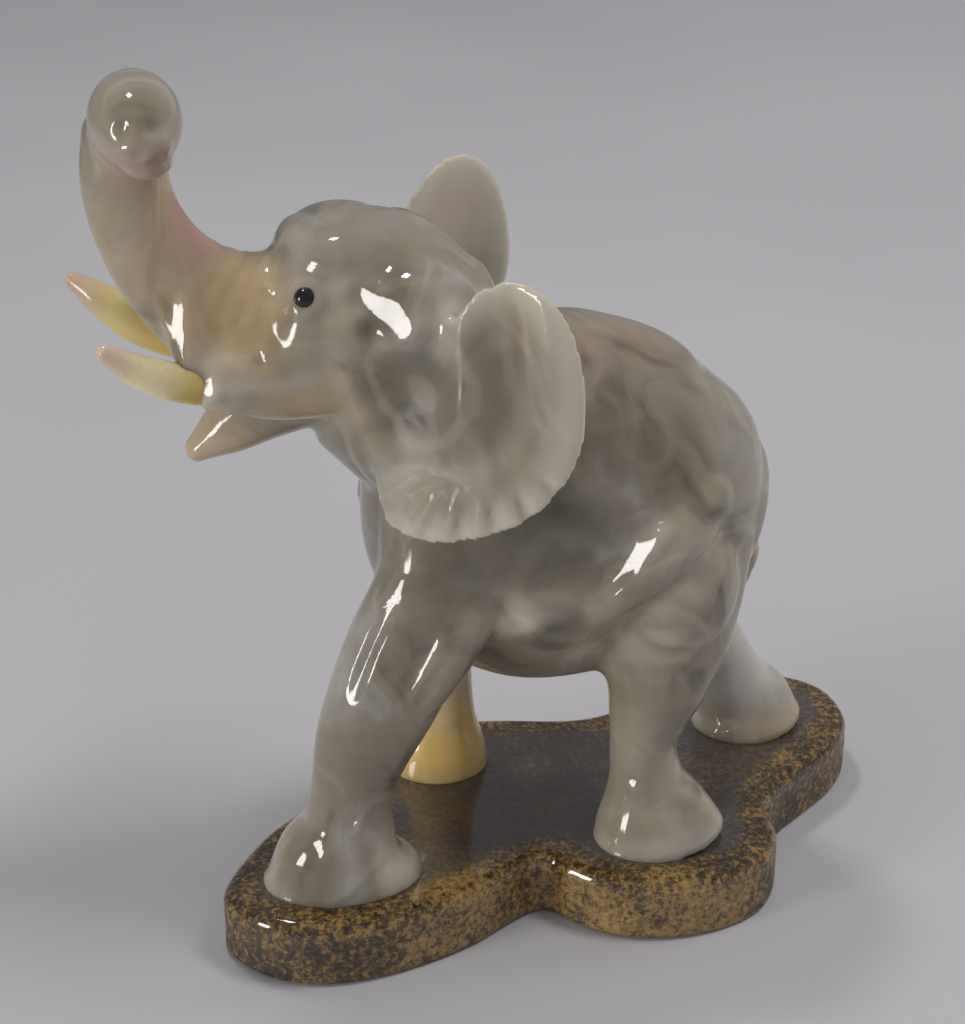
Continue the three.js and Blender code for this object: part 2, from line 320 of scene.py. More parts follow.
class Skin:
    """A closed mesh whose points are rubbed smooth and pushed in or out, all at once.

    RUB_IN, RUB_OUT and RELAX are shares of the way to its neighbours' mean that a point moves in
    one round, towards it or back.
    """

    RUB_IN = 0.5
    RUB_OUT = 0.52
    RELAX = 0.6

    def __init__(self, mesh: bpy.types.Mesh) -> None:
        """Reads the mesh's points and edges.

        Args:
            mesh: the mesh to work on.
        """
        self.mesh = mesh
        self.points = np.empty(len(mesh.vertices) * 3)
        mesh.vertices.foreach_get("co", self.points)
        self.points = self.points.reshape(-1, 3)
        ends = np.empty(len(mesh.edges) * 2, dtype=np.int64)
        mesh.edges.foreach_get("vertices", ends)
        self.first, self.second = ends[0::2], ends[1::2]
        self.degree = np.maximum(np.bincount(ends, minlength=len(self.points)), 1)

    def mean(self, values: np.ndarray) -> np.ndarray:
        """Takes the mean over each point's neighbours.

        Args:
            values: a number or a row of numbers for each point.

        Returns:
            The means.
        """
        if values.ndim > 1:
            return np.stack([self.mean(column) for column in values.T], axis=1)
        total = np.bincount(self.first, values[self.second], len(values))
        total += np.bincount(self.second, values[self.first], len(values))
        return total / self.degree

    def normals(self) -> np.ndarray:
        """Writes the points back to the mesh and reads its normals.

        Returns:
            The direction out of the skin at each point.
        """
        self.mesh.vertices.foreach_set("co", self.points.ravel())
        self.mesh.update()
        out = np.empty(len(self.points) * 3)
        self.mesh.vertex_normals.foreach_get("vector", out)
        return out.reshape(-1, 3)

    def rub(self, rounds: int, firmness: float = 0.0) -> None:
        """Smooths the skin.

        Args:
            rounds: how often.
            firmness: how much of the shrinking is given back, from 0 to 1.
        """
        for _ in range(rounds):
            self.points += self.RUB_IN * (self.mean(self.points) - self.points)
            if firmness:
                self.points -= self.RUB_OUT * firmness * (self.mean(self.points) - self.points)

    def relax(self, share: np.ndarray, rounds: int) -> None:
        """Smooths each point by its own share, round after round."""
        for _ in range(rounds):
            self.points += self.RELAX * share[:, None] * (self.mean(self.points) - self.points)

    def soften(self, least: float, spread: int, rounds: int, spared: np.ndarray) -> None:
        """Rubs the creases between forms into hollows.

        Args:
            least: how far a point lies below its neighbours' mean before it counts, in millimetres.
            spread: how many rings of neighbours around a crease move with it.
            rounds: how often they are rubbed.
            spared: which points are left as they are.
        """
        below = np.einsum("ij,ij->i", self.mean(self.points) - self.points, self.normals())
        share = np.clip(below / least - 1.0, 0.0, 1.0)
        growth = 1.25
        for _ in range(spread):
            share = np.maximum(share, np.minimum(1.0, growth * self.mean(share)))
        share[spared] = 0.0
        self.relax(share, rounds)

    def ease(self, centre: Point3, radius: float, rounds: int) -> None:
        """Rubs everything near a place smooth.

        Args:
            centre: the place.
            radius: how far the rubbing reaches, in millimetres.
            rounds: how often.
        """
        away = np.linalg.norm(self.points - np.array(centre), axis=1) / radius
        self.relax(np.clip(2.0 - 2.0 * away, 0.0, 1.0), rounds)

    def flatten(self, facet: Facet) -> None:
        """Flattens a long spot, as a polisher's wheel does.

        Args:
            facet: where the spot lies and which way it faces.
        """
        facing = np.array(Vector(facet.facing).normalized())
        ends = np.array([facet.start, facet.end], dtype=float)
        middle = ends.mean(axis=0)
        ends -= np.outer((ends - middle) @ facing, facing)
        run = ends[1] - ends[0]
        along = np.clip((self.points - ends[0]) @ run / max(run @ run, 1e-6), 0.0, 1.0)
        offset = self.points - ends[0] - along[:, None] * run
        soft_edge, least_facing = 0.6, 0.2
        share = np.clip((1.0 - np.linalg.norm(offset, axis=1) / facet.width) / soft_edge, 0.0, 1.0)
        share = share * share * (3.0 - 2.0 * share)
        share[self.normals() @ facing < least_facing] = 0.0
        self.points -= np.outer(share * (offset @ facing), facing)

    def push(self, relief: Callable[[Vector], float], low: Point3, high: Point3) -> None:
        """Moves the points inside a box in or out.

        Args:
            relief: how far out a place moves, in millimetres.
            low: the box's lowest corner.
            high: its highest corner.
        """
        normals = self.normals()
        inside = np.all((self.points > low) & (self.points < high), axis=1)
        for spot in np.flatnonzero(inside):
            self.points[spot] += normals[spot] * relief(Vector(self.points[spot]))

    def even(self, values: np.ndarray, rounds: int) -> np.ndarray:
        """Evens values out over the neighbouring points.

        Args:
            values: a number for each point.
            rounds: how often.

        Returns:
            The evened values.
        """
        for _ in range(rounds):
            values = 0.4 * values + 0.6 * self.mean(values)
        return values


@dataclass
class Shop:
    """Where pieces are put together: it knows where the carver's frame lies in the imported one."""

    body: str = "root"
    origin: Vector = field(default_factory=Vector)

    def measure(self) -> None:
        """Finds the carver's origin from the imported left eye, whose own place is known."""
        low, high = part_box("eye_left")
        self.origin = (low + high) / 2 - Vector((EYE[0], -EYE[1], EYE[2])) * MM

    def point(self, place: Point3) -> Vector:
        """Returns a place of the carver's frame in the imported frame, in metres."""
        return Vector(place) * MM + self.origin

    def mesh_object(self, bm: bmesh.types.BMesh, name: str) -> bpy.types.Object:
        """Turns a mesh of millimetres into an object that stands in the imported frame.

        Args:
            bm: the finished mesh, which is freed.
            name: the object's name.

        Returns:
            The object, at the origin, with its place in its mesh.
        """
        bmesh.ops.scale(bm, vec=Vector((MM, MM, MM)), verts=bm.verts)
        bmesh.ops.translate(bm, vec=self.origin, verts=bm.verts)
        mesh = bpy.data.meshes.new(name)
        bm.to_mesh(mesh)
        bm.free()
        return linked(name, mesh)

    def deliver(self, piece: bpy.types.Object, node: str, finish: bpy.types.Material) -> None:
        """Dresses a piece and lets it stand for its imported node.

        Args:
            piece: the finished piece.
            node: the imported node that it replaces.
            finish: its material.
        """
        piece.data.materials.clear()
        piece.data.materials.append(finish)
        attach(piece, self.body)
        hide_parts(node)
        LOG.info("%s: %d faces", piece.name, len(piece.data.polygons))


class Paint:
    """Lays out one material's nodes, a step at a time."""

    def __init__(self, name: str) -> None:
        """Starts a material with a principled shader and object coordinates.

        Args:
            name: the material's name.
        """
        self.material = bpy.data.materials.new(name)
        self.material.use_nodes = True
        self.tree = self.material.node_tree
        self.shader = self.tree.nodes["Principled BSDF"]
        self.place = self.add("ShaderNodeTexCoord").outputs["Object"]

    def feed(self, socket: Socket, value: object) -> None:
        """Links a socket to an output, or sets it to a plain value.

        Args:
            socket: the socket.
            value: an output, a number or a colour.
        """
        if isinstance(value, Socket):
            self.tree.links.new(value, socket)
        elif socket.type == "RGBA":
            socket.default_value = (*value, 1.0)
        else:
            socket.default_value = value

    def add(self, kind: str, inputs: Inputs | None = None, **settings: object) -> bpy.types.Node:
        """Adds a node, sets its properties and feeds its inputs.

        Args:
            kind: the node's type.
            inputs: values or outputs, by the input's name or number.
            settings: the node's properties.

        Returns:
            The node.
        """
        node = self.tree.nodes.new(kind)
        for key, value in settings.items():
            setattr(node, key, value)
        for key, value in (inputs or {}).items():
            self.feed(node.inputs[key], value)
        return node

    def set(self, **values: object) -> None:
        """Sets or links the shader's sockets, named with underscores."""
        for key, value in values.items():
            self.feed(self.shader.inputs[key.replace("_", " ")], value)

    def stored(self, name: str) -> Socket:
        """Returns a measure that is stored at the mesh's points."""
        return self.add("ShaderNodeAttribute", attribute_name=name).outputs["Fac"]

    def math(self, operation: str, first: object, second: object = 0.0) -> Socket:
        """Returns the result of a math step."""
        return self.add("ShaderNodeMath", {0: first, 1: second}, operation=operation).outputs[0]

    def times(self, first: object, second: object) -> Socket:
        """Returns the product of two values."""
        return self.math("MULTIPLY", first, second)

    def uneven(self, value: object, noise_value: Socket, amount: float) -> Socket:
        """Returns a value that noise about 0.5 moves up and down by an amount."""
        return self.math("ADD", value, self.times(self.math("SUBTRACT", noise_value, 0.5), amount))

    def vector(self, operation: str, first: object, second: object = (0.0, 0.0, 0.0)) -> Socket:
        """Adds a vector math step.

        Args:
            operation: what it does.
            first: its first vector.
            second: its second vector, if it has one.

        Returns:
            A vector, or a number for a length, distance or dot product.
        """
        node = self.add("ShaderNodeVectorMath", {0: first, 1: second}, operation=operation)
        number = operation in ("LENGTH", "DISTANCE", "DOT_PRODUCT")
        return node.outputs["Value" if number else "Vector"]

    def remap(self, value: object, low: float, high: float, out: Pair = (0.0, 1.0)) -> Socket:
        """Returns a value softly remapped from low..high to out."""
        inputs = {"Value": value, "From Min": low, "From Max": high, "To Min": out[0], "To Max": out[1]}
        return self.add("ShaderNodeMapRange", inputs, interpolation_type="SMOOTHSTEP").outputs["Result"]

    def cloud(
        self,
        scale: float,
        detail: float = 2.0,
        rough: float = 0.5,
        warp: float = 0.0,
        place: Socket | None = None,
        output: str = "Fac",
    ) -> Socket:
        """Adds soft noise.

        Args:
            scale: its features to the metre.
            detail: how many finer layers it has.
            rough: how strong the finer layers are.
            warp: how much it is distorted.
            place: the coordinates that it reads, if not the object's own.
            output: Fac for a value about 0.5, or Color for three.

        Returns:
            The noise.
        """
        inputs = {"Scale": scale, "Detail": detail, "Roughness": rough, "Distortion": warp}
        node = self.add("ShaderNodeTexNoise", {"Vector": place or self.place, **inputs})
        return node.outputs[output]

    def swirl(self, scale: float, reach: float) -> Socket:
        """Pushes the object coordinates about with noise.

        Args:
            scale: the noise's features to the metre.
            reach: how far it pushes, in metres.

        Returns:
            The warped coordinates.
        """
        drift = self.vector("SUBTRACT", self.cloud(scale, output="Color"), (0.5, 0.5, 0.5))
        wander = self.add("ShaderNodeVectorMath", {0: drift, "Scale": reach}, operation="SCALE")
        return self.vector("ADD", self.place, wander.outputs[0])

    def blend(self, share: object, first: object, second: object) -> Socket:
        """Returns two colours mixed by a share of the second."""
        inputs = {"Factor": share, 6: first, 7: second}
        return self.add("ShaderNodeMix", inputs, data_type="RGBA").outputs[2]

    def ramp(self, value: Socket, stops: Sequence[tuple[float, Colour]]) -> Socket:
        """Reads a colour ramp.

        Args:
            value: where it is read.
            stops: the ramp's places and colours.

        Returns:
            The colour.
        """
        node = self.add("ShaderNodeValToRGB", {"Fac": value})
        ramp = node.color_ramp
        ramp.interpolation = "EASE"
        for spot, (position, colour) in enumerate(stops):
            element = ramp.elements[spot] if spot < 2 else ramp.elements.new(position)
            element.position = position
            element.color = (*colour, 1.0)
        return node.outputs["Color"]

    def patch(
        self, centre: Vector, radii: Point3, ragged: Socket | None = None, soft: float = 0.6
    ) -> Socket:
        """Makes a mask that is 1 inside an ellipsoid and fades out past its skin.

        Args:
            centre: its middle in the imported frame, in metres.
            radii: its half sizes in millimetres.
            ragged: a value about 0.5 that makes the edge uneven.
            soft: how far inside the skin the fading starts, as a share.

        Returns:
            The mask.
        """
        offset = self.vector("SUBTRACT", self.place, tuple(centre))
        spread = self.vector("DIVIDE", offset, tuple(radius * MM for radius in radii))
        reach = self.vector("LENGTH", spread)
        if ragged is not None:
            reach = self.math("ADD", reach, self.math("SUBTRACT", ragged, 0.5))
        return self.remap(reach, 1.0 - soft, 1.0 + soft * 0.5, (1.0, 0.0))

    def relief(self, height: Socket, distance: float, strength: float) -> Socket:
        """Returns a bumped normal from a height, with the bump's depth in metres."""
        inputs = {"Height": height, "Distance": distance, "Strength": strength}
        return self.add("ShaderNodeBump", inputs).outputs["Normal"]


@dataclass(frozen=True)
class Cloud:
    """A tinted area, of the stone's own colour or of painted shade or light: its place and half sizes in
    millimetres, colour and share.
    """

    place: Point3
    radii: Point3
    tint: Colour
    share: float


@dataclass(frozen=True)
class Knot:
    """A set of closed bands around a place in the stone, in millimetres."""

    place: Point3
    reach: float
    spacing: float
    share: float


@dataclass(frozen=True)
class Agate:
    """The carving's stone: grey-green, banded, paler where it is thin, with honey and pink areas,
    painted light on the right front leg and painted shade under the ear, on the chest and in the ear's
    hollow.
    """

    deep: Colour = (0.135, 0.118, 0.086)
    middle: Colour = (0.33, 0.285, 0.21)
    pale: Colour = (0.58, 0.52, 0.41)
    cool: Colour = (0.47, 0.445, 0.40)
    # Painted light: honey stone colours raised far past the stone's own, for the right front leg in the
    # shade under the belly.
    honey_painted_lit: Colour = (0.98, 0.68, 0.25)
    pale_honey_painted_lit: Colour = (0.95, 0.77, 0.47)
    amber: Colour = (0.64, 0.46, 0.24)
    tan: Colour = (0.64, 0.49, 0.32)
    rose: Colour = (0.47, 0.28, 0.23)
    milky: Colour = (0.74, 0.65, 0.52)
    margin: Colour = (0.68, 0.65, 0.55)
    frost: Colour = (0.62, 0.60, 0.56)
    roughness: float = 0.08
    dull_roughness: float = 0.16
    dull_spot: tuple[Point3, Point3] = ((-2.0, -42.0, 156.0), (17.0, 14.0, 17.0))
    thin_share: float = 0.45
    band_count: float = 60.0
    band_share: float = 0.34
    vein_count: float = 150.0
    vein_share: float = 0.07
    margin_share: float = 0.7

    def clouds(self) -> tuple[Cloud, ...]:
        """Lists the tinted areas, each of which is laid over those before it; some are painted shade or
        painted light.

        Returns:
            The areas.
        """
        return (
            Cloud((-54.0, -8.0, 161.0), (15.0, 16.0, 15.0), self.amber, 0.75),
            Cloud((-70.0, -2.0, 178.0), (14.0, 17.0, 26.0), self.tan, 0.65),
            Cloud((-61.0, 0.0, 179.0), (8.0, 12.0, 13.0), self.rose, 0.95),
            Cloud((-72.0, -17.0, 198.0), (12.0, 11.0, 7.0), self.rose, 0.55),
            Cloud((-76.0, -10.0, 208.0), (12.0, 18.0, 6.0), self.middle, 0.7),
            Cloud((-60.0, -14.0, 147.0), (9.0, 8.0, 10.0), self.milky, 0.6),
            Cloud((-38.0, -16.0, 172.0), (13.0, 12.0, 10.0), self.cool, 0.35),
            Cloud((-58.0, 0.0, 129.0), (16.0, 14.0, 9.0), self.tan, 0.75),
            Cloud((-42.0, -14.0, 143.0), (11.0, 10.0, 7.0), self.amber, 0.4),
            # Painted light on the right front leg's honey stone, which brightens it in the shade under
            # the belly.
            Cloud((-3.0, 25.0, 24.0), (17.0, 18.0, 18.0), self.honey_painted_lit, 1.0),
            Cloud((-4.0, 23.0, 52.0), (16.0, 17.0, 20.0), self.pale_honey_painted_lit, 0.9),
            Cloud((80.0, 31.0, 38.0), (22.0, 18.0, 24.0), self.frost, 0.75),
            Cloud((-30.0, 0.0, 180.0), (20.0, 20.0, 7.0), self.cool, 0.25),
            Cloud((84.0, 25.0, 20.0), (16.0, 12.0, 6.0), self.tan, 0.5),
            Cloud((5.6, -26.0, 85.6), (6.5, 8.0, 6.0), self.milky, 1.0),
            Cloud((-22.0, -31.0, 23.0), (9.0, 10.0, 9.0), self.milky, 0.5),
            Cloud((42.0, -18.0, 36.0), (20.0, 20.0, 26.0), self.pale, 0.3),
            Cloud((60.0, 0.0, 112.0), (16.0, 22.0, 24.0), self.cool, 0.55),
            Cloud((46.0, -33.0, 102.0), (12.0, 10.0, 12.0), self.milky, 0.36),
            Cloud((64.0, -15.0, 112.0), (12.0, 12.0, 14.0), self.cool, 0.3),
            Cloud((11.0, -29.0, 91.0), (12.0, 8.0, 5.0), self.pale, 0.4),
            Cloud((-35.6, -22.0, 143.7), (8.0, 8.0, 8.0), self.tan, 0.45),
            # Partly painted shade, partly the stone's own dark: the shoulder under the ear.
            Cloud((-15.0, -28.0, 95.0), (10.0, 8.0, 10.0), self.deep, 0.4),
            Cloud((-27.0, -29.0, 77.0), (9.0, 8.0, 14.0), self.deep, 0.35),
            Cloud((-35.6, -28.0, 52.0), (10.0, 10.0, 18.0), self.deep, 0.25),
            # Partly painted shade, partly the stone's own dark: under the jaw.
            Cloud((-31.4, -12.0, 124.0), (12.0, 14.0, 11.0), self.deep, 0.6),
            Cloud((-24.0, -23.0, 168.0), (8.0, 8.0, 7.0), self.deep, 0.25),
            Cloud((26.0, -22.0, 134.0), (9.0, 9.0, 7.0), self.deep, 0.2),
            Cloud((36.0, -10.0, 147.0), (24.0, 14.0, 7.0), self.rose, 0.25),
            Cloud((41.0, -30.0, 78.0), (10.0, 8.0, 13.0), self.pale, 0.3),
            Cloud((24.0, -31.0, 118.0), (9.0, 7.0, 8.0), self.cool, 0.35),
            Cloud((-2.0, 42.0, 168.0), (20.0, 14.0, 26.0), self.milky, 0.6),
            # Partly painted shade, partly the stone's own dark: the chest under the neck.
            Cloud((-24.0, -4.0, 102.0), (14.0, 16.0, 20.0), self.deep, 0.7),
            # Partly painted shade, partly the stone's own dark: the near ear's root and hollow.
            Cloud((-19.0, -29.0, 150.0), (10.0, 9.0, 12.0), self.deep, 0.45),
            Cloud((-13.0, -34.0, 145.0), (10.0, 9.0, 13.0), self.deep, 0.5),
            Cloud((-3.0, -41.0, 151.0), (14.0, 12.0, 19.0), self.deep, 0.4),
            # Partly painted shade, partly the stone's own dark: the flank under the ear.
            Cloud((-6.0, -30.0, 105.0), (17.0, 12.0, 13.0), self.deep, 0.7),
            Cloud((14.0, -32.0, 109.0), (15.0, 11.0, 13.0), self.deep, 0.88),
            Cloud((-46.0, -28.0, 24.0), (10.0, 10.0, 10.0), self.deep, 0.3),
            Cloud((30.0, -26.0, 128.0), (12.0, 10.0, 9.0), self.deep, 0.3),
        )

    def knots(self) -> tuple[Knot, ...]:
        """Lists the sets of closed bands.

        Returns:
            The sets.
        """
        return (
            Knot((-16.0, -32.0, 150.0), 36.0, 9.5, 0.24),
            Knot((39.8, -31.0, 80.2), 19.0, 7.5, 0.28),
            Knot((38.3, -28.0, 130.2), 17.0, 8.0, 0.14),
            Knot((24.3, -27.0, 139.5), 11.0, 6.0, 0.16),
            Knot((16.0, -32.0, 98.0), 22.0, 10.0, 0.14),
        )

    def ground(self, paint: Paint, swirled: Socket) -> Socket:
        """Lays out the stone's colour before its tinted areas: soft clouds and wandering bands.

        Args:
            paint: the material's nodes.
            swirled: warped object coordinates.

        Returns:
            The colour.
        """
        body = paint.cloud(32.0, 3.0, 0.55, 0.8, swirled)
        colour = paint.ramp(body, [(0.32, self.deep), (0.5, self.middle), (0.72, self.cool)])
        thin = paint.remap(paint.stored("thinness"), 0.0, 1.0, (0.0, self.thin_share))
        colour = paint.blend(thin, colour, self.pale)
        flow = paint.cloud(15.0, 1.5, 0.45, 0.5, swirled)
        waves = paint.math("SINE", paint.times(flow, self.band_count))
        calm = paint.remap(paint.cloud(24.0, 1.0), 0.4, 0.62)
        lines = paint.times(paint.remap(waves, 0.1, 1.0), calm)
        colour = paint.blend(paint.times(lines, self.band_share), colour, self.pale)
        veins = paint.math("SINE", paint.times(flow, self.vein_count))
        veins = paint.times(paint.remap(veins, 0.0, 1.0), self.vein_share)
        return paint.blend(veins, colour, self.deep)

    def ringed(self, paint: Paint, colour: Socket, away: Socket, knot: Knot) -> Socket:
        """Lays a knot's pale and dark bands over the stone's colour.

        Args:
            paint: the material's nodes.
            colour: the stone's colour so far.
            away: the distance from the knot's place, in metres.
            knot: how far the bands reach, and how far apart and how strong they are.

        Returns:
            The colour with the bands in it.
        """
        wave = paint.math("SINE", paint.times(away, 2 * math.pi / (knot.spacing * MM)))
        fade = paint.remap(away, knot.reach * MM * 0.35, knot.reach * MM, (knot.share, 0.0))
        pale = paint.times(paint.remap(wave, 0.0, 1.0), fade)
        colour = paint.blend(pale, colour, self.pale)
        dark = paint.times(paint.remap(wave, 0.0, -1.0), fade)
        return paint.blend(paint.times(dark, 0.6), colour, self.deep)

    def make(self, shop: Shop) -> bpy.types.Material:
        """Builds the material.

        Args:
            shop: tells where the carver's frame lies.

        Returns:
            The finished material.
        """
        paint = Paint("banded_agate")
        colour = self.ground(paint, paint.swirl(22.0, 0.045))
        ragged = paint.cloud(70.0, 3.0, 0.6)
        for cloud in self.clouds():
            mask = paint.patch(shop.point(cloud.place), cloud.radii, ragged)
            colour = paint.blend(paint.times(mask, cloud.share), colour, cloud.tint)
        bent = paint.swirl(48.0, 0.016)
        for knot in self.knots():
            away = paint.vector("DISTANCE", bent, tuple(shop.point(knot.place)))
            colour = self.ringed(paint, colour, away, knot)
        rim = paint.times(paint.stored("ear_margin"), self.margin_share)
        colour = paint.blend(rim, colour, self.margin)
        height = paint.cloud(120.0)
        place, radii = self.dull_spot
        dull = paint.patch(shop.point(place), radii, soft=0.5)
        paint.set(
            Base_Color=colour,
            Roughness=paint.remap(dull, 0.0, 1.0, (self.roughness, self.dull_roughness)),
            IOR=QUARTZ_IOR,
            Subsurface_Weight=0.4,
            Subsurface_Radius=(1.0, 0.8, 0.55),
            Subsurface_Scale=0.005,
            Normal=paint.relief(height, 0.0003, 0.4),
        )
        return paint.material


@dataclass(frozen=True)
class HoneyStone:
    """The tusks' yellow stone, which pales to a pinkish tip."""

    root: Colour = (0.74, 0.52, 0.15)
    middle: Colour = (0.97, 0.85, 0.52)
    tip: Colour = (0.74, 0.56, 0.46)

    def make(self, near: Vector, far: Vector, name: str) -> bpy.types.Material:
        """Builds the material of one tusk.

        Args:
            near: where the tusk leaves its socket, in metres.
            far: the tusk's tip, in metres.
            name: the material's name.

        Returns:
            The finished material.
        """
        paint = Paint(name)
        run = far - near
        offset = paint.vector("SUBTRACT", paint.place, tuple(near))
        along = paint.vector("DOT_PRODUCT", offset, tuple(run / run.length_squared))
        spot = paint.uneven(along, paint.cloud(160.0, 3.0, 0.6, 0.6), 0.35)
        colour = paint.ramp(spot, [(0.05, self.root), (0.55, self.middle), (0.95, self.tip)])
        grain = paint.remap(paint.cloud(420.0, 2.0, 0.5, 1.5), 0.5, 0.75, (0.0, 0.25))
        colour = paint.blend(grain, colour, self.root)
        paint.set(
            Base_Color=colour,
            Roughness=0.16,
            IOR=QUARTZ_IOR,
            Subsurface_Weight=0.45,
            Subsurface_Radius=(1.0, 0.75, 0.35),
            Subsurface_Scale=0.003,
        )
        return paint.material


@dataclass(frozen=True)
class Jet:
    """The eye beads' black, glassy stone."""

    black: Colour = (0.006, 0.006, 0.008)
    brown: Colour = (0.02, 0.014, 0.01)

    def make(self) -> bpy.types.Material:
        """Builds the material.

        Returns:
            The finished material.
        """
        paint = Paint("jet")
        colour = paint.ramp(paint.cloud(900.0), [(0.4, self.black), (0.7, self.brown)])
        paint.set(Base_Color=colour, Roughness=0.04, IOR=1.6)
        return paint.material


@dataclass(frozen=True)
class Granite:
    """The slab's stone: a dark polished top, painted a plain sheen grey inside its rim, and speckled
    brown sides, painted lighter and warmer on the front faces.
    """

    black: Colour = (0.024, 0.015, 0.006)
    brown: Colour = (0.105, 0.061, 0.017)
    ochre: Colour = (0.33, 0.19, 0.05)
    tan: Colour = (0.46, 0.30, 0.10)
    # Painted sheen: the plain grey that most of the top is blended to, standing in for the backdrop's
    # reflection in the polish.
    polished_sheen: Colour = (0.082, 0.074, 0.073)
    # Painted light: patches on the front faces, by place and half sizes, where the speckle is pushed
    # lighter and warmer.
    painted_light: Sequence[tuple[Point3, Point3]] = (
        ((0.0, -31.0, 8.0), (30.0, 14.0, 16.0)),
        ((44.0, -41.0, 8.0), (30.0, 12.0, 14.0)),
    )
    painted_light_share: float = 0.075
    painted_sheen_share: float = 0.75

    def speckle(self, paint: Paint, shop: Shop) -> Socket:
        """Lays out the stone's colour: mineral grains about a millimetre across, painted lighter and
        warmer on the front faces where the light falls.

        Args:
            paint: the material's nodes.
            shop: tells where the carver's frame lies.

        Returns:
            The colour.
        """
        grain = paint.cloud(640.0, 3.0, 0.75, 0.4)
        drift = paint.cloud(70.0, 3.0, 0.6)
        value = paint.times(grain, 0.8)
        value = paint.math("ADD", value, paint.times(drift, 0.35))
        # Painted light: the speckle is pushed towards ochre and tan on the front faces.
        for place, radii in self.painted_light:
            painted_light = paint.patch(shop.point(place), radii)
            value = paint.math("ADD", value, paint.times(painted_light, self.painted_light_share))
        stops = [(0.485, self.black), (0.575, self.brown), (0.67, self.ochre), (0.79, self.tan)]
        return paint.ramp(value, stops)

    def make(self, shop: Shop, height: float) -> bpy.types.Material:
        """Builds the material.

        Args:
            shop: tells where the carver's frame lies.
            height: the slab's height in millimetres.

        Returns:
            The finished material.
        """
        paint = Paint("granite")
        sides = self.speckle(paint, shop)
        # Painted sheen: the top's colour, mostly the plain grey that stands in for the reflection in the
        # polish.
        top = paint.blend(self.painted_sheen_share, sides, self.polished_sheen)
        z = paint.add("ShaderNodeSeparateXYZ", {0: paint.place}).outputs["Z"]
        level = shop.point((0.0, 0.0, height)).z
        rim = paint.stored("rim")
        # The painted sheen covers the top inside its speckled rim, with an uneven edge.
        inner = paint.uneven(rim, paint.cloud(110.0, 3.0, 0.6), 0.9)
        inner = paint.remap(inner, 0.75, 0.25)
        flat = paint.remap(z, level - 1.2 * MM, level - 0.2 * MM)
        polished_sheen = paint.remap(z, level - 6 * MM, level - 1.5 * MM)
        pits = paint.cloud(700.0, 3.0, 0.6)
        paint.set(
            Base_Color=paint.blend(paint.times(inner, flat), sides, top),
            Roughness=paint.remap(polished_sheen, 0.0, 1.0, (0.45, 0.07)),
            IOR=1.8,
            Normal=paint.relief(paint.times(pits, paint.math("SUBTRACT", 1.0, polished_sheen)), 0.0003, 0.6),
        )
        return paint.material


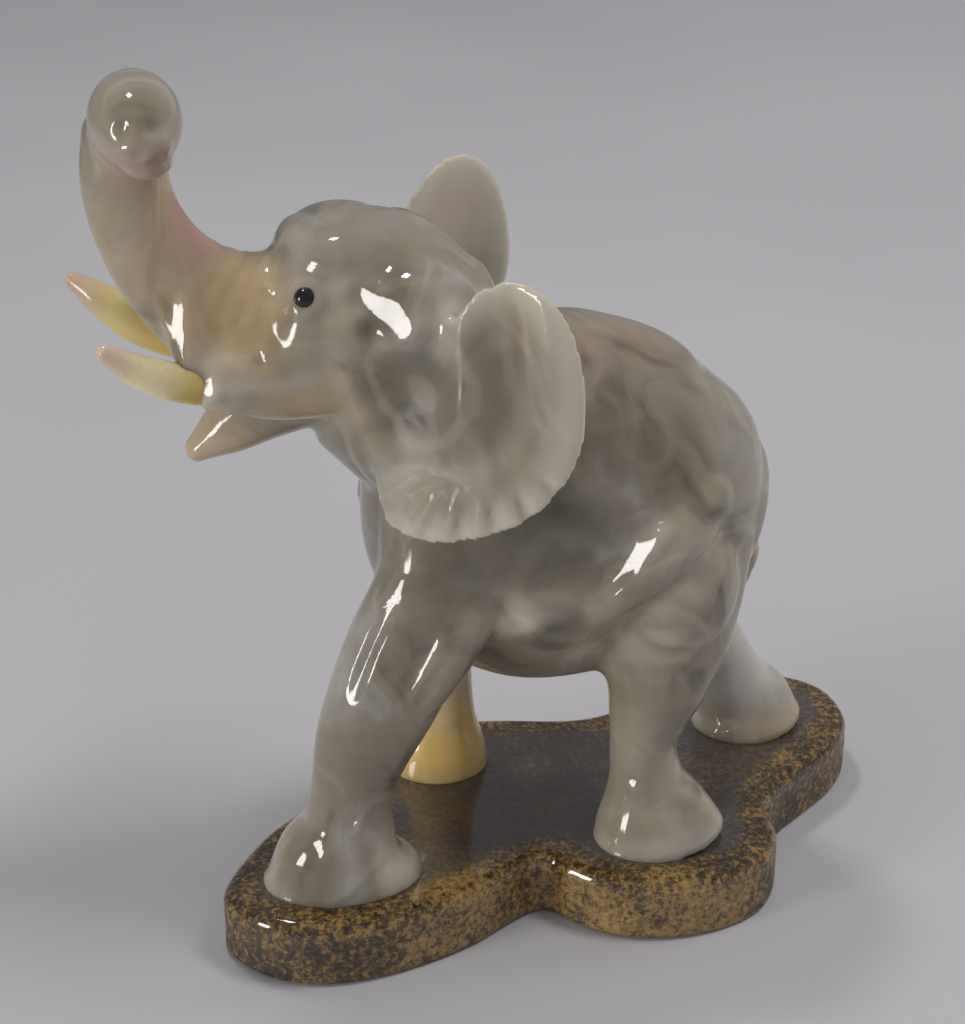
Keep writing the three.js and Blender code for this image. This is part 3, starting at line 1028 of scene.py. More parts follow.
@dataclass
class Ear:
    """One ear: a sheet of stone inside a rim, hollowed in front and ruffled below."""

    side: Side
    rim: Sequence[Pair] = (
        (14.0, 147.0), (13.7, 156.0), (11.3, 166.0), (6.6, 172.6), (1.2, 174.3), (-4.8, 171.2),
        (-10.5, 164.0), (-19.0, 155.0), (-26.0, 143.0), (-27.0, 131.0), (-26.0, 122.0),
        (-24.0, 116.2), (-17.0, 115.0), (-7.0, 118.4), (3.0, 124.4), (10.2, 133.0), (13.2, 140.0),
    )
    middle: Pair = (-6.0, 145.0)
    root_top: Pair = (-17.0, 166.0)
    root_foot: Pair = (-29.0, 118.0)
    root_out: float = 25.0
    flare: float = 27.0
    flare_reach: float = 36.0
    free_share: float = 0.22
    thickness: float = 4.4
    ruffles: int = 24
    ruffle_depth: float = 1.9
    ruffle_levels: Pair = (127.0, 139.0)
    hollow_depth: float = 1.3
    fold_height: float = 0.9
    fold_level: float = 138.0
    rim_allowance: float = 0.4
    right_lift: float = 5.0
    right_sweep: float = 7.0
    around: int = 168
    rows: int = 56

    def edge(self, share: float) -> Vector:
        """Returns the rim's point at a share of its round, as x and z."""
        return spline([Vector((x, z, 0.0)) for x, z in self.rim], share % 1.0, closed=True)

    def flare_share(self, x: float, z: float) -> float:
        """Works out how much of the full flare the ear has at a point seen from the side.

        Args:
            x: the point's x.
            z: the point's z.

        Returns:
            The share, from 0 at the root.
        """
        root = Vector((self.root_top[0] - self.root_foot[0], self.root_top[1] - self.root_foot[1]))
        away = ((x - self.root_foot[0]) * root.y - (z - self.root_foot[1]) * root.x) / root.length
        return min(max(away / self.flare_reach, 0.0), 1.1)

    def sheet(self, x: float, z: float) -> float:
        """Returns how far out from the middle plane the ear's sheet lies."""
        return self.root_out + self.flare * math.sin(self.flare_share(x, z) * math.pi / 2.2)

    def placed(self, x: float, z: float, out: float) -> Vector:
        """Puts a point of the ear in its place, higher and further back on the right.

        Args:
            x: the point's x.
            z: the point's z.
            out: how far it lies from the middle plane.

        Returns:
            The point in the carver's frame.
        """
        right = 1.0 if self.side is Side.RIGHT else 0.0
        back = right * self.right_sweep * self.flare_share(x, z)
        return Vector((x + back, self.side.value * out, z + right * self.right_lift))

    def carved(self, x: float, z: float, spread: float, share: float) -> Pair:
        """Works out the sheet's ruffle and the outer face's own hollow and fold.

        Args:
            x: the point seen from the side.
            z: the point seen from the side.
            spread: 0 at the ear's middle and 1 at its rim.
            share: the share of the round.

        Returns:
            Both, in millimetres out.
        """
        low = 1.0 - smoothstep(*self.ruffle_levels, z)
        ruffle = math.sin(2 * math.pi * self.ruffles * share) * low
        ruffle *= smoothstep(0.58, 0.86, spread) * (1.0 - 0.75 * smoothstep(0.9, 1.0, spread))
        hollow = bump(0.42, 0.34, spread)
        above = z - self.fold_level
        line = -5.2 + 0.10 * above + 0.006 * above**2
        fold = bump(line, 2.2, x) * bump(134.0, 9.0, z) * (1.0 - smoothstep(0.85, 1.0, spread))
        return ruffle * self.ruffle_depth, fold * self.fold_height - hollow * self.hollow_depth

    def build(self, bm: bmesh.types.BMesh) -> None:
        """Adds the ear to a mesh, as a sphere flattened between its two faces.

        Args:
            bm: the mesh that takes it.
        """
        made = bmesh.ops.create_uvsphere(bm, u_segments=self.around, v_segments=self.rows, radius=1.0)
        edges = [self.edge(column / self.around) for column in range(self.around)]
        for vert in made["verts"]:
            polar, turn = sphere_angles(vert.co)
            share = (turn / (2 * math.pi)) % 1.0
            rim = edges[round(share * self.around) % self.around]
            spread = math.sin(polar) ** 0.8
            outer = math.copysign(math.sqrt(abs(math.cos(polar))), math.cos(polar))
            reach = Vector((rim.x - self.middle[0], rim.y - self.middle[1]))
            reach *= 1.0 + self.rim_allowance / reach.length
            x = self.middle[0] + spread * reach.x
            z = self.middle[1] + spread * reach.y
            ruffle, relief = self.carved(x, z, spread, share)
            # The furrows between the ruffles are cut deeper than the ruffles stand out.
            out = self.sheet(x, z) + outer * self.thickness / 2 - abs(ruffle) * 0.4 + ruffle * 0.6
            vert.co = self.placed(x, z, out + relief * max(outer, 0.0))

    def rim_tree(self) -> KDTree:
        """Collects the ear's rim where the ear stands free.

        Returns:
            A finder of the rim's nearest point.
        """
        count = 400
        steps = [self.edge(step / count) for step in range(count)]
        free = [point for point in steps if self.flare_share(point.x, point.y) > self.free_share]
        tree = KDTree(len(free))
        for spot, point in enumerate(free):
            tree.insert(self.placed(point.x, point.y, self.sheet(point.x, point.y)), spot)
        tree.balance()
        return tree


@dataclass
class Carving:
    """The whole elephant, carved from one stone."""

    voxel: float = 1.0
    wrinkle_depth: float = 0.05
    wrinkles: float = 15.0
    nostrils: Point3 = (-73.6, -22.6, 206.6)
    nostril_gap: float = 5.6
    heel_ridge: tuple[Point3, Point3] = ((-29.3, -29.0, 26.6), (-40.9, -33.0, 18.5))
    # How deep the stone is where it counts as wholly thin and as wholly thick.
    thin_depths: Pair = (3.0, 26.0)
    # How far from an ear's rim its pale margin starts to fade and has gone.
    margin_width: Pair = (1.0, 8.5)
    torso: Sequence[Station] = (
        (-15, 3, 111, 22, 27),
        (-5, 3, 109.5, 29, 38),
        (14, 4, 105, 34, 46.5),
        (31, 5, 101.5, 34.5, 46),
        (44, 6, 98, 32.5, 42),
        (55, 6.5, 95, 28.5, 34.5),
        (62, 7, 92, 23, 26),
    )
    neck: Sequence[Station] = (
        (12, 4, 121, 25, 26),
        (-4, 1, 132, 25, 28),
        (-20, 0, 144, 23, 25),
    )
    skull: Sequence[Station] = (
        (-4, 0, 150, 22, 17.5),
        (-16, 0, 153.5, 27.5, 23.5),
        (-29, 0, 156, 27, 24),
        (-40, 0, 157.5, 21.5, 19),
    )
    trunk: Sequence[Station] = (
        (-34, 0, 154, 18, 17),
        (-46, 0, 155, 16, 16.5),
        (-57, 0, 159, 13.3, 14.3),
        (-67.3, 0, 168, 11.3, 11.6),
        (-73.4, 0, 179, 10.2, 10.2),
        (-75.8, 0, 190, 9.5, 9.6),
        (-75, 0, 199, 9.4, 9.4),
    )
    lip: Sequence[Station] = (
        (-34, 0, 142, 14, 11),
        (-47, 0, 136.3, 10.2, 9),
        (-57, 0, 130.1, 7.2, 6.4),
        (-63.8, 0, 125.6, 4.2, 3),
    )
    tail: Sequence[Station] = (
        (58, 7, 120, 3.6, 3.6),
        (68, 7.5, 109, 2.8, 2.8),
        (72, 8, 97, 2.2, 2.2),
        (73.5, 8.5, 88, 2.4, 2.4),
        (74.5, 9, 80.5, 2.8, 2.8),
        (73.5, 9, 74, 1.8, 1.8),
    )
    # The trunk's rolled tip and its two lips, the brow and the thighs, by middle and half sizes.
    blobs: Sequence[tuple[Point3, Point3]] = (
        ((-73, -7, 204.2), (10, 16.8, 10.4)),
        ((-72.4, -18.2, 202.6), (6.6, 6.8, 4.6)),
        ((-71.6, -16.2, 197.9), (5.6, 6.4, 3.8)),
        ((-37.5, 0, 170.5), (7, 14, 8.5)),
        ((46, -13, 89), (17.5, 19.5, 23)),
        ((52, 20, 88), (18, 16.5, 24)),
    )
    # The forehead's dome, the temple and the cheek, given for the right side.
    head_blobs: Sequence[tuple[Point3, Point3]] = (
        ((-28.5, 9, 170.3), (13.5, 10.5, 9)),
        ((-15.2, 19, 160.4), (14, 13.5, 13.5)),
        ((-20, 16.5, 137), (12, 10.5, 19)),
    )
    # The folds beside the mouth, given for the right side: round the tusk, and up the trunk.
    tusk_sheath: Sequence[Station] = (
        (-36, 12, 149, 11, 13),
        (-47, 12.3, 146.8, 8.8, 10.4),
        (-57, 12.4, 147, 6.8, 8.2),
        (-62.5, 12.8, 147, 5.8, 6.6),
    )
    trunk_ridge: Sequence[Station] = (
        (-68.8, 5.5, 177, 4, 4),
        (-67.2, 8, 168, 4.8, 4.8),
        (-65.4, 9.8, 160, 5, 5),
        (-63.4, 11.2, 152.5, 5, 5),
        (-60.5, 12.2, 147, 4.6, 4.6),
    )
    # The loose skin behind the left shoulder and before the left thigh.
    folds: Sequence[Sequence[Station]] = (
        (
            (-1, -20, 96, 6, 7),
            (-7.5, -23.6, 84, 7, 7),
            (-16.8, -24.6, 71, 6.6, 6.8),
            (-24.5, -23.4, 60, 5, 5.4),
        ),
        (
            (23, -21.5, 82, 5, 6),
            (29, -25.2, 92.5, 7.6, 8),
            (38, -26, 100.5, 8.4, 8.6),
            (46, -24.6, 107, 8, 8),
            (53, -20, 112, 6, 6),
        ),
    )
    # The polished flats that carry the highlights.
    facets: Sequence[Facet] = (
        Facet((-4.5, -40.5, 166.0), (-4.0, -42.5, 147.0), 14.0, (-0.42, -0.89, 0.17)),
        Facet((-27.6, -23.6, 167.4), (-19.3, -31.6, 161.9), 5.0, (-0.63, -0.735, 0.26)),
        Facet((-68.8, -12.9, 165.7), (-65.6, -15.5, 152.4), 4.0, (-0.585, -0.765, 0.28)),
        Facet((-62.4, -18.2, 148.5), (-60.2, -18.7, 145.2), 3.4, (-0.60, -0.76, 0.28)),
        Facet((-20.5, -22.8, 98.0), (-33.5, -27.0, 71.5), 2.5, (-0.61, -0.69, 0.395)),
        Facet((-11.9, -29.7, 85.3), (-22.0, -31.4, 74.3), 3.8, (-0.62, -0.69, 0.37)),
        Facet((25.6, -30.9, 96.8), (38.8, -32.2, 108.0), 4.8, (-0.68, -0.665, 0.32)),
        Facet((-77.1, -21.9, 205.1), (-74.7, -23.3, 205.4), 2.6, (-0.59, -0.79, 0.19)),
        Facet((-72.8, -24.3, 201.0), (-72.2, -24.4, 201.0), 2.6, (-0.59, -0.79, 0.20)),
        Facet((-46.9, -11.1, 166.2), (-46.5, -11.4, 165.4), 2.6, (-0.61, -0.76, 0.25)),
        Facet((-49.8, -17.9, 154.4), (-49.5, -18.0, 153.0), 2.8, (-0.61, -0.76, 0.26)),
        Facet((-34.2, -29.1, 38.2), (-33.9, -29.1, 36.6), 2.8, (-0.61, -0.68, 0.43)),
        Facet((-43.0, -28.0, 32.0), (-42.0, -28.6, 30.0), 3.0, (-0.61, -0.68, 0.43)),
        Facet((35.8, -23.4, 37.2), (36.8, -23.2, 35.2), 2.8, (-0.67, -0.64, 0.40)),
        Facet((75.6, 21.2, 21.2), (76.8, 21.4, 20.6), 2.4, (-0.68, -0.64, 0.39)),
    )
    # Each pass over the creases: the least depth that counts, the spread and the rounds.
    creases: Sequence[tuple[float, int, int]] = ((0.06, 4, 16), (0.045, 3, 12), (0.035, 2, 8))
    # Places on both sides of the head that are rubbed smooth, with the reach and the rounds.
    eased: Sequence[tuple[Point3, float, int]] = (
        ((-24.0, 26.0, 141.0), 17.0, 26),
        ((-10.0, 31.0, 164.0), 9.0, 12),
        ((-19.5, 22.0, 172.0), 9.0, 16),
        ((-44.0, 17.5, 157.0), 9.0, 16),
    )
    # Left front, right front, left hind and right hind.
    legs: Sequence[Sequence[Station]] = (
        (
            (-5, -10, 106, 15, 19),
            (-9.5, -14, 92, 14, 16),
            (-19.5, -18, 77, 13.2, 14.3),
            (-25, -19, 65.5, 12.6, 13.4),
            (-30, -19, 53.5, 11.4, 11.8),
            (-33.2, -19, 41.5, 9.9, 9.9),
            (-34.2, -19, 32, 11, 11.3),
            (-36, -19, 24, 13.2, 16.2),
            (-36, -19, 17.3, 14.2, 20),
        ),
        (
            (-6, 14, 104, 15, 19),
            (-6, 19, 86, 13.5, 16),
            (-5, 25, 66, 11.8, 12.5),
            (-3.5, 28, 50, 10, 10),
            (-2.5, 28, 40.5, 8.6, 8.6),
            (-2.5, 28, 31, 9.4, 9.6),
            (-2.7, 28, 24, 11.4, 12),
            (-3, 28, 17.3, 12.6, 13.4),
        ),
        (
            (47, -9, 98, 16, 22),
            (46, -13, 82, 15, 19),
            (44.5, -15, 68.5, 13, 16.5),
            (43.6, -16, 60, 11.2, 13),
            (42, -16, 52, 9.6, 10.3),
            (40.8, -16, 43.2, 8.5, 8.5),
            (41.8, -16, 33.6, 9.5, 9.5),
            (43.4, -16.5, 25, 12.2, 14),
            (44.8, -17.5, 17.3, 14, 17.3),
        ),
        (
            (50, 17, 96, 17, 21),
            (54, 23, 78, 14.5, 17),
            (62, 28, 62, 12, 13.2),
            (70, 31, 49, 9.6, 10.2),
            (76.3, 32, 38.5, 8.4, 8.6),
            (80.3, 32, 29.5, 10, 10.6),
            (83.2, 32, 23.5, 12, 13.6),
            (84.6, 31.5, 17.3, 14, 15.8),
        ),
    )

    def trunk_swell(self, share: float, angle: float) -> float:
        """Runs wrinkles across the trunk's upper side at its base.

        Args:
            share: the share of the trunk's length.
            angle: the angle around it.

        Returns:
            The trunk's radius as a share of the full one.
        """
        upper = smoothstep(-0.8, 0.1, -math.sin(angle))
        base = smoothstep(0.08, 0.16, share) * (1.0 - smoothstep(0.40, 0.55, share))
        wave = 0.5 - 0.5 * math.cos(2 * math.pi * share * self.wrinkles)
        return 1.0 - self.wrinkle_depth * upper * base * wave**2

    def rough_out(self) -> Pile:
        """Piles up the overlapping forms that the figure is made of.

        Returns:
            The pile.
        """
        pile = Pile()
        pile.add(Sweep(self.torso, 10, 9, around=84, steps=70).build)
        pile.add(Sweep(self.neck, 10, 10, around=72, steps=30).build)
        pile.add(Sweep(self.skull, 9, 9, around=72, steps=40).build)
        pile.add(Sweep(self.trunk, 8, 8, around=80, steps=170, shape=self.trunk_swell).build)
        pile.add(Sweep(self.lip, 6, 3, around=48, steps=40).build)
        pile.add(Sweep(self.tail, 3, 3, around=24, steps=50).build)
        for stations in self.legs:
            pile.add(Sweep(stations, 10, 2.5, around=60, steps=84, flat_end=True).build)
        for stations in self.folds:
            pile.add(Sweep(stations, 6, 5, around=36, steps=40).build)
        for centre, radii in self.blobs:
            pile.blob(centre, radii)
        for side in Side:
            self.rough_out_side(pile, side)
        return pile

    def rough_out_side(self, pile: Pile, side: Side) -> None:
        """Adds the forms that the head has on both sides.

        Args:
            pile: takes them.
            side: the side to make.
        """
        for (x, y, z), radii in self.head_blobs:
            pile.blob((x, side.value * y, z), radii)
        for rows, start, end in ((self.tusk_sheath, 5.0, 2.0), (self.trunk_ridge, 4.0, 3.0)):
            mirrored = [(x, side.value * y, z, wide, high) for x, y, z, wide, high in rows]
            pile.add(Sweep(mirrored, start, end, around=44, steps=40).build)
        pile.add(Ear(side).build)

    def eye_relief(self, place: Vector) -> float:
        """Shapes the low lids around an eye and the hollow outside them.

        Args:
            place: a point of the skin.

        Returns:
            How far out it moves, in millimetres.
        """
        eye = Vector((EYE[0], math.copysign(EYE[1], place.y), EYE[2]))
        away = (place - eye).length
        return 0.3 * bump(3.6, 0.9, away) - 0.35 * bump(6.0, 2.0, away)

    def tip_relief(self, place: Vector) -> float:
        """Sinks the two nostrils over the lower lip of the trunk's tip.

        Args:
            place: a point of the skin.

        Returns:
            How far out it moves, in millimetres.
        """
        x, y, z = self.nostrils
        shifts = (-self.nostril_gap / 2, self.nostril_gap / 2)
        aways = [(place - Vector((x + shift, y, z))).length for shift in shifts]
        return -sum(0.9 * bump(0.0, 1.5, away) for away in aways)

    def heel_relief(self, place: Vector) -> float:
        """Raises the ridge that runs down the left front foot to its heel.

        Args:
            place: a point of the skin.

        Returns:
            How far out it moves, in millimetres.
        """
        top, foot = (Vector(end) for end in self.heel_ridge)
        run = foot - top
        share = min(max((place - top).dot(run) / run.length_squared, 0.0), 1.0)
        return 0.9 * bump(0.0, 1.8, (place - top - run * share).length)

    def cut_feet(self, bm: bmesh.types.BMesh) -> None:
        """Cuts the feet off level with the slab, on a flat plane.

        Args:
            bm: the skin.
        """
        level = SLAB_HEIGHT + 0.02
        geometry = list(bm.verts) + list(bm.edges) + list(bm.faces)
        cut = bmesh.ops.bisect_plane(
            bm,
            geom=geometry,
            dist=1e-4,
            plane_co=Vector((0.0, 0.0, level)),
            plane_no=Vector((0.0, 0.0, -1.0)),
            clear_outer=True,
        )
        rims = [item for item in cut["geom_cut"] if isinstance(item, bmesh.types.BMEdge)]
        bmesh.ops.holes_fill(bm, edges=rims, sides=0)
        bmesh.ops.recalc_face_normals(bm, faces=bm.faces)

    def scallops(self, skin: Skin) -> np.ndarray:
        """Returns which points lie in the ears' ruffled feet, where the creases stay crisp."""
        x, y, z = skin.points.T
        return (x < 14.0) & (np.abs(y) > 34.0) & (z > 108.0) & (z < 138.0)

    def measure_stone(self, skin: Skin) -> dict[str, np.ndarray]:
        """Measures how thin the stone is under each point, and how near an ear's rim it lies.

        Args:
            skin: the finished skin, in millimetres.

        Returns:
            Both measures for each point, from 0 to 1, by the names that the finish reads.
        """
        normals = skin.normals()
        probe = bmesh.new()
        probe.from_mesh(skin.mesh)
        tree = BVHTree.FromBMesh(probe)
        probe.free()
        rims = {side: Ear(side).rim_tree() for side in Side}
        thin, margin = np.zeros(len(skin.points)), np.zeros(len(skin.points))
        start, reach = 0.3, 40.0
        ear_out, ear_foot = 28.0, 108.0
        for spot, (point, normal) in enumerate(zip(skin.points, normals)):
            place, inward = Vector(point), -Vector(normal)
            depth = tree.ray_cast(place + inward * start, inward, reach)[3]
            thin[spot] = 1.0 - smoothstep(*self.thin_depths, reach if depth is None else depth)
            if abs(place.y) > ear_out and place.z > ear_foot:
                side = Side.LEFT if place.y < 0 else Side.RIGHT
                margin[spot] = 1.0 - smoothstep(*self.margin_width, rims[side].find(place)[2])
        return {"thinness": skin.even(thin, 12), "ear_margin": skin.even(margin, 4)}

    def build(self, shop: Shop) -> bpy.types.Object:
        """Builds the carving.

        Args:
            shop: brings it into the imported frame.

        Returns:
            The finished piece, undressed.
        """
        skin = Skin(self.rough_out().skin(self.voxel))
        skin.rub(4, 1.0)
        spared = self.scallops(skin)
        for least, spread, rounds in self.creases:
            skin.soften(least, spread, rounds, spared)
        for side in Side:
            for (x, y, z), radius, rounds in self.eased:
                skin.ease((x, side.value * y, z), radius, rounds)
        for facet in self.facets:
            skin.flatten(facet)
        # The near ear's flat ends softly towards the head.
        skin.ease((-11.5, -36.0, 157.0), 10.0, 12)
        skin.push(self.eye_relief, (-55, -30, 152), (-28, 30, 178))
        skin.push(self.tip_relief, (-90, -30, 192), (-60, -12, 216))
        skin.push(self.heel_relief, (-60, -45, 14), (-15, -15, 36))
        skin.rub(3, 0.9)
        for name, values in self.measure_stone(skin).items():
            layer = skin.mesh.attributes.new(name, "FLOAT", "POINT")
            layer.data.foreach_set("value", values.astype(np.float32))
        bm = bmesh.new()
        bm.from_mesh(skin.mesh)
        bpy.data.meshes.remove(skin.mesh)
        self.cut_feet(bm)
        bm.normal_update()
        for face in bm.faces:
            sole = abs(face.normal.z) >= UPRIGHT and face.calc_center_median().z <= SLAB_HEIGHT + 1.0
            face.smooth = not sole
        return shop.mesh_object(bm, "carved_elephant")


@dataclass
class Tusk:
    """One tusk of yellow stone, let into its socket and slightly uneven where it stands free."""

    side: Side
    free_end: float = -66.0
    seed: int = 5
    rows: dict[Side, Sequence[Station]] = field(
        default_factory=lambda: {
            Side.LEFT: (
                (-57, -12, 145.8, 4, 4),
                (-63, -13, 146, 4.4, 4.4),
                (-70, -16, 148.7, 4.3, 4.3),
                (-77.5, -18.4, 153, 3.5, 3.5),
                (-83.7, -19.7, 157.6, 1.9, 1.9),
            ),
            Side.RIGHT: (
                (-57, 12, 146.8, 4.6, 4.6),
                (-65, 13, 147.8, 4.8, 4.8),
                (-75, 15, 151.6, 4.6, 4.6),
                (-83, 18.9, 157, 3.8, 3.8),
                (-88.6, 21.4, 161, 1.9, 1.9),
            ),
        }
    )

    def build(self, shop: Shop) -> bpy.types.Object:
        """Builds the tusk.

        Args:
            shop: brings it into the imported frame.

        Returns:
            The finished piece, undressed.
        """
        bm = bmesh.new()
        Sweep(self.rows[self.side], 0.6, 1.5, around=40, steps=60, cap_rows=8).build(bm)
        # Unseeded, the noise would differ from one run to the next.
        noise.seed_set(self.seed)
        for vert in bm.verts:
            if vert.co.x < self.free_end:
                vert.co += noise.noise_vector(vert.co * 0.16) * 0.16
        bmesh.ops.recalc_face_normals(bm, faces=bm.faces)
        for face in bm.faces:
            face.smooth = True
        return shop.mesh_object(bm, f"stone_tusk_{self.side.name.lower()}")

    def dress(self, shop: Shop, piece: bpy.types.Object) -> None:
        """Gives the tusk its stone and hands it over.

        Args:
            shop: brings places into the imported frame.
            piece: the tusk.
        """
        root = shop.point(self.rows[self.side][1][:3])
        tip = shop.point(self.rows[self.side][-1][:3])
        name = self.side.name.lower()
        stone = HoneyStone()
        if self.side is Side.RIGHT:
            # Painted shade: the right tusk is given darker colours, standing in for the shade that the
            # trunk casts on it.
            stone = HoneyStone(middle=(0.70, 0.60, 0.27), tip=(0.62, 0.45, 0.34))
        finish = stone.make(root, tip, f"honey_stone_{name}")
        shop.deliver(piece, f"tusk_{name}", finish)


@dataclass
class EyeBead:
    """One black bead, set in the face."""

    side: Side
    radius: float = 2.5

    def build(self, shop: Shop) -> bpy.types.Object:
        """Builds the bead.

        Args:
            shop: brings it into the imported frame.

        Returns:
            The finished piece.
        """
        bm = bmesh.new()
        x, y, z = EYE
        ellipsoid(bm, (x, self.side.value * y, z), (self.radius, self.radius, self.radius))
        for face in bm.faces:
            face.smooth = True
        return shop.mesh_object(bm, f"eye_bead_{self.side.name.lower()}")


@dataclass
class Slab:
    """The lobed granite slab, one lobe under each foot."""

    height: float = SLAB_HEIGHT
    top_round: float = 3.6
    foot_round: float = 2.2
    # Where the top's spokes meet, and the middle that the sides face away from.
    hub: Pair = (25.0, 5.0)
    middle: Pair = (25.0, 8.0)
    around: int = 384
    round_steps: int = 8
    side_cuts: int = 8
    top_cuts: int = 11
    rim_width: float = 9.0
    outline: Sequence[Pair] = (
        (-66, -20), (-62.5, -29), (-55, -36.5), (-45, -40.5), (-33, -41), (-20, -38.2), (-6, -32.8),
        (5, -26), (11.5, -22.6), (15.5, -22.8), (19, -27.5), (25.5, -34), (34, -38.5), (46, -40.5),
        (59, -38.5), (69, -33), (75, -24), (78, -10), (84, -2), (94, 6), (106, 16), (113.5, 28),
        (113.5, 43), (106, 53), (95, 57), (70, 54), (42, 43), (18, 47), (-6, 50), (-26, 40),
        (-36, 20), (-54, 2),
    )

    def build(self, shop: Shop) -> bpy.types.Object:
        """Builds the slab: its outline raised, its edges rounded and its sides a little uneven.

        Args:
            shop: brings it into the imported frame.

        Returns:
            The finished piece, undressed.
        """
        bm = bmesh.new()
        made = bmesh.ops.create_circle(bm, cap_ends=True, segments=self.around, radius=1.0)
        corners = [Vector((x, y, 0.0)) for x, y in self.outline]
        for vert in made["verts"]:
            share = (math.atan2(vert.co.y, vert.co.x) / (2 * math.pi)) % 1.0
            vert.co = spline(corners, share, closed=True)
        raised = bmesh.ops.extrude_face_region(bm, geom=list(bm.faces))
        top_verts = [item for item in raised["geom"] if isinstance(item, bmesh.types.BMVert)]
        bmesh.ops.translate(bm, vec=Vector((0.0, 0.0, self.height)), verts=top_verts)
        bmesh.ops.recalc_face_normals(bm, faces=bm.faces)
        self.round_edge(bm, self.height, self.top_round)
        self.round_edge(bm, 0.0, self.foot_round)
        uprights = [edge for edge in bm.edges if abs(edge.verts[0].co.z - edge.verts[1].co.z) > 4.0]
        bmesh.ops.subdivide_edges(bm, edges=uprights, cuts=self.side_cuts, use_grid_fill=True)
        self.wear_sides(bm)
        self.grid_top(bm)
        for face in bm.faces:
            face.smooth = abs(face.normal.z) < UPRIGHT
        return shop.mesh_object(bm, "granite_slab")

    def round_edge(self, bm: bmesh.types.BMesh, level: float, radius: float) -> None:
        """Rounds the edge that runs round the slab at one level.

        Args:
            bm: the slab.
            level: the edge's height.
            radius: how far the rounding reaches.
        """
        rim = [edge for edge in bm.edges if all(abs(vert.co.z - level) < 1e-4 for vert in edge.verts)]
        steps = self.round_steps
        bmesh.ops.bevel(
            bm, geom=rim, offset=radius, segments=steps, profile=0.5, affect="EDGES", material=-1
        )

    def wear_sides(self, bm: bmesh.types.BMesh) -> None:
        """Makes the sides a little uneven, and leaves the top and the underside level.

        Args:
            bm: the slab.
        """
        for vert in bm.verts:
            edge = min(self.height - vert.co.z, vert.co.z)
            if edge > 0.05:
                # A slow swell about 20 mm long and a finer one about 3 mm long.
                drift = noise.noise(vert.co * 0.05) * 0.5 + noise.noise(vert.co * 0.3) * 0.22
                x, y = vert.co.x - self.middle[0], vert.co.y - self.middle[1]
                outward = Vector((x, y, 0.0)).normalized()
                vert.co -= outward * (abs(drift) + 0.1) * smoothstep(0.0, 3.0, edge)

    def grid_top(self, bm: bmesh.types.BMesh) -> None:
        """Divides the top into rings and stores how near its outline each point lies.

        Args:
            bm: the slab, whose top is still one face.
        """
        tops = [face for face in bm.faces if face.normal.z > UPRIGHT and face.calc_area() > 1000.0]
        outline = [vert.co.copy() for face in tops for vert in face.verts]
        tree = KDTree(len(outline))
        for spot, point in enumerate(outline):
            tree.insert(point, spot)
        tree.balance()
        hub = bmesh.ops.poke(bm, faces=tops)["verts"][0]
        hub.co = Vector((*self.hub, self.height))
        spokes = list(hub.link_edges)
        bmesh.ops.subdivide_edges(bm, edges=spokes, cuts=self.top_cuts, use_grid_fill=True)
        rim = bm.verts.layers.float.new("rim")
        for vert in bm.verts:
            vert[rim] = 1.0 - smoothstep(1.0, self.rim_width, tree.find(vert.co)[2])


@dataclass(frozen=True)
class Softbox:
    """A lamp: where it hangs from what it lights, its sides in metres, its watts and its tint.

    One that isn't mirrored lights the stone without showing in its polish.
    """

    name: str
    away: Point3
    sides: Pair
    power: float
    tint: Colour
    mirrored: bool = True

    def hang(self, aim: Vector) -> None:
        """Hangs the lamp.

        Args:
            aim: the point that it faces.
        """
        data = bpy.data.lights.new(self.name, "AREA")
        data.shape = "RECTANGLE"
        data.size, data.size_y = self.sides
        data.energy = self.power
        data.color = self.tint
        lamp = linked(self.name, data)
        lamp.visible_glossy = self.mirrored
        offset = Vector(self.away)
        turn = offset.to_track_quat("Z", "Y").to_matrix().to_4x4()
        lamp.matrix_world = Matrix.Translation(aim + offset) @ turn


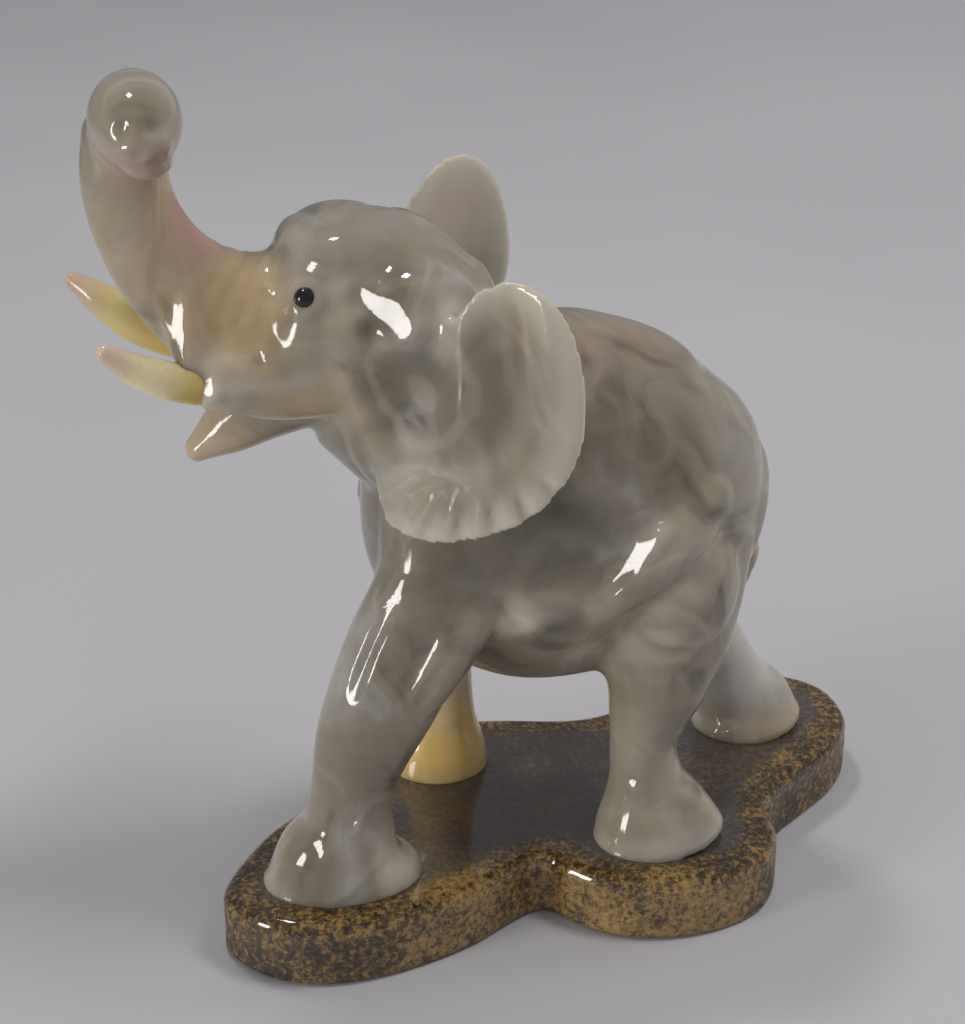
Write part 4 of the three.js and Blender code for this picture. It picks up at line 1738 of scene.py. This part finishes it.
@dataclass
class Studio:
    """The camera, floor and lights."""

    target: Point3 = (0.0, -15.0, 110.0)
    azimuth: float = -12.0
    elevation: float = 25.0
    distance: float = 480.0
    focal_pixels: float = 2064.0
    frame_height: float = 1024.0
    sensor: float = 36.0
    lit: Point3 = (0.0, 0.0, 100.0)
    softboxes: Sequence[Softbox] = (
        Softbox("window", (-1.5, -0.55, 0.25), (0.36, 0.52), 9.0, (1.0, 0.98, 0.95)),
        Softbox("ceiling", (-0.28, 0.5, 1.35), (0.2, 0.2), 4.0, (1.0, 0.98, 0.96)),
        Softbox("overhead", (0.85, -0.25, 1.7), (0.5, 0.5), 10.8, (1.0, 0.99, 0.98), mirrored=False),
        Softbox("side", (2.2, 0.4, 0.7), (1.1, 0.9), 9.0, (1.0, 0.99, 1.0), mirrored=False),
    )

    def back(self) -> Vector:
        """Works out the direction from the object to the camera.

        Returns:
            The direction.
        """
        turn, rise = math.radians(self.azimuth), math.radians(self.elevation)
        level = math.cos(rise)
        return Vector((math.sin(turn) * level, -math.cos(turn) * level, math.sin(rise)))

    def camera(self, shop: Shop) -> None:
        """Sets up the camera at the photograph's angle.

        Args:
            shop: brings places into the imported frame.
        """
        data = bpy.data.cameras.new("view")
        data.sensor_fit = "VERTICAL"
        data.sensor_height = self.sensor
        data.lens = self.focal_pixels / self.frame_height * self.sensor
        data.clip_start, data.clip_end = 0.01, 50.0
        back = self.back()
        right = Vector((-back.y, back.x, 0.0)).normalized()
        turn = Matrix((right, back.cross(right), back)).transposed().to_4x4()
        eye = linked("view", data)
        eye.matrix_world = Matrix.Translation(shop.point(self.target) + back * self.distance * MM) @ turn
        bpy.context.scene.camera = eye

    def floor(self) -> None:
        """Lays a plain pale floor."""
        bm = bmesh.new()
        bmesh.ops.create_grid(bm, x_segments=1, y_segments=1, size=6.0)
        mesh = bpy.data.meshes.new("floor")
        bm.to_mesh(mesh)
        bm.free()
        floor = linked("floor", mesh)
        paint = Paint("pale_cloth")
        folds = [(0.3, (0.56, 0.555, 0.575)), (0.7, (0.60, 0.595, 0.615))]
        paint.set(Base_Color=paint.ramp(paint.cloud(3.0), folds), Roughness=0.85)
        mesh.materials.append(paint.material)

    def lights(self, shop: Shop) -> None:
        """Hangs the softboxes and sets the room's pale fill.

        Args:
            shop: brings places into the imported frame.
        """
        for softbox in self.softboxes:
            softbox.hang(shop.point(self.lit))
        world = bpy.data.worlds.new("room")
        world.use_nodes = True
        backdrop = world.node_tree.nodes["Background"]
        backdrop.inputs["Color"].default_value = (0.96, 0.95, 1.0, 1.0)
        backdrop.inputs["Strength"].default_value = 0.25
        bpy.context.scene.world = world
        bpy.context.scene.view_settings.view_transform = "Standard"


def main() -> None:
    """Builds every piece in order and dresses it."""
    logging.basicConfig(level=logging.INFO, format="%(message)s")
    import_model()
    shop = Shop()
    shop.measure()
    studio = Studio()
    studio.camera(shop)
    studio.floor()
    studio.lights(shop)
    carving = Carving()
    shop.deliver(carving.build(shop), "elephant_body", Agate().make(shop))
    jet = Jet().make()
    for side in Side:
        tusk = Tusk(side)
        tusk.dress(shop, tusk.build(shop))
        bead = EyeBead(side)
        shop.deliver(bead.build(shop), f"eye_{side.name.lower()}", jet)
    slab = Slab()
    shop.deliver(slab.build(shop), "slab", Granite().make(shop, slab.height))


if __name__ == "__main__":
    main()
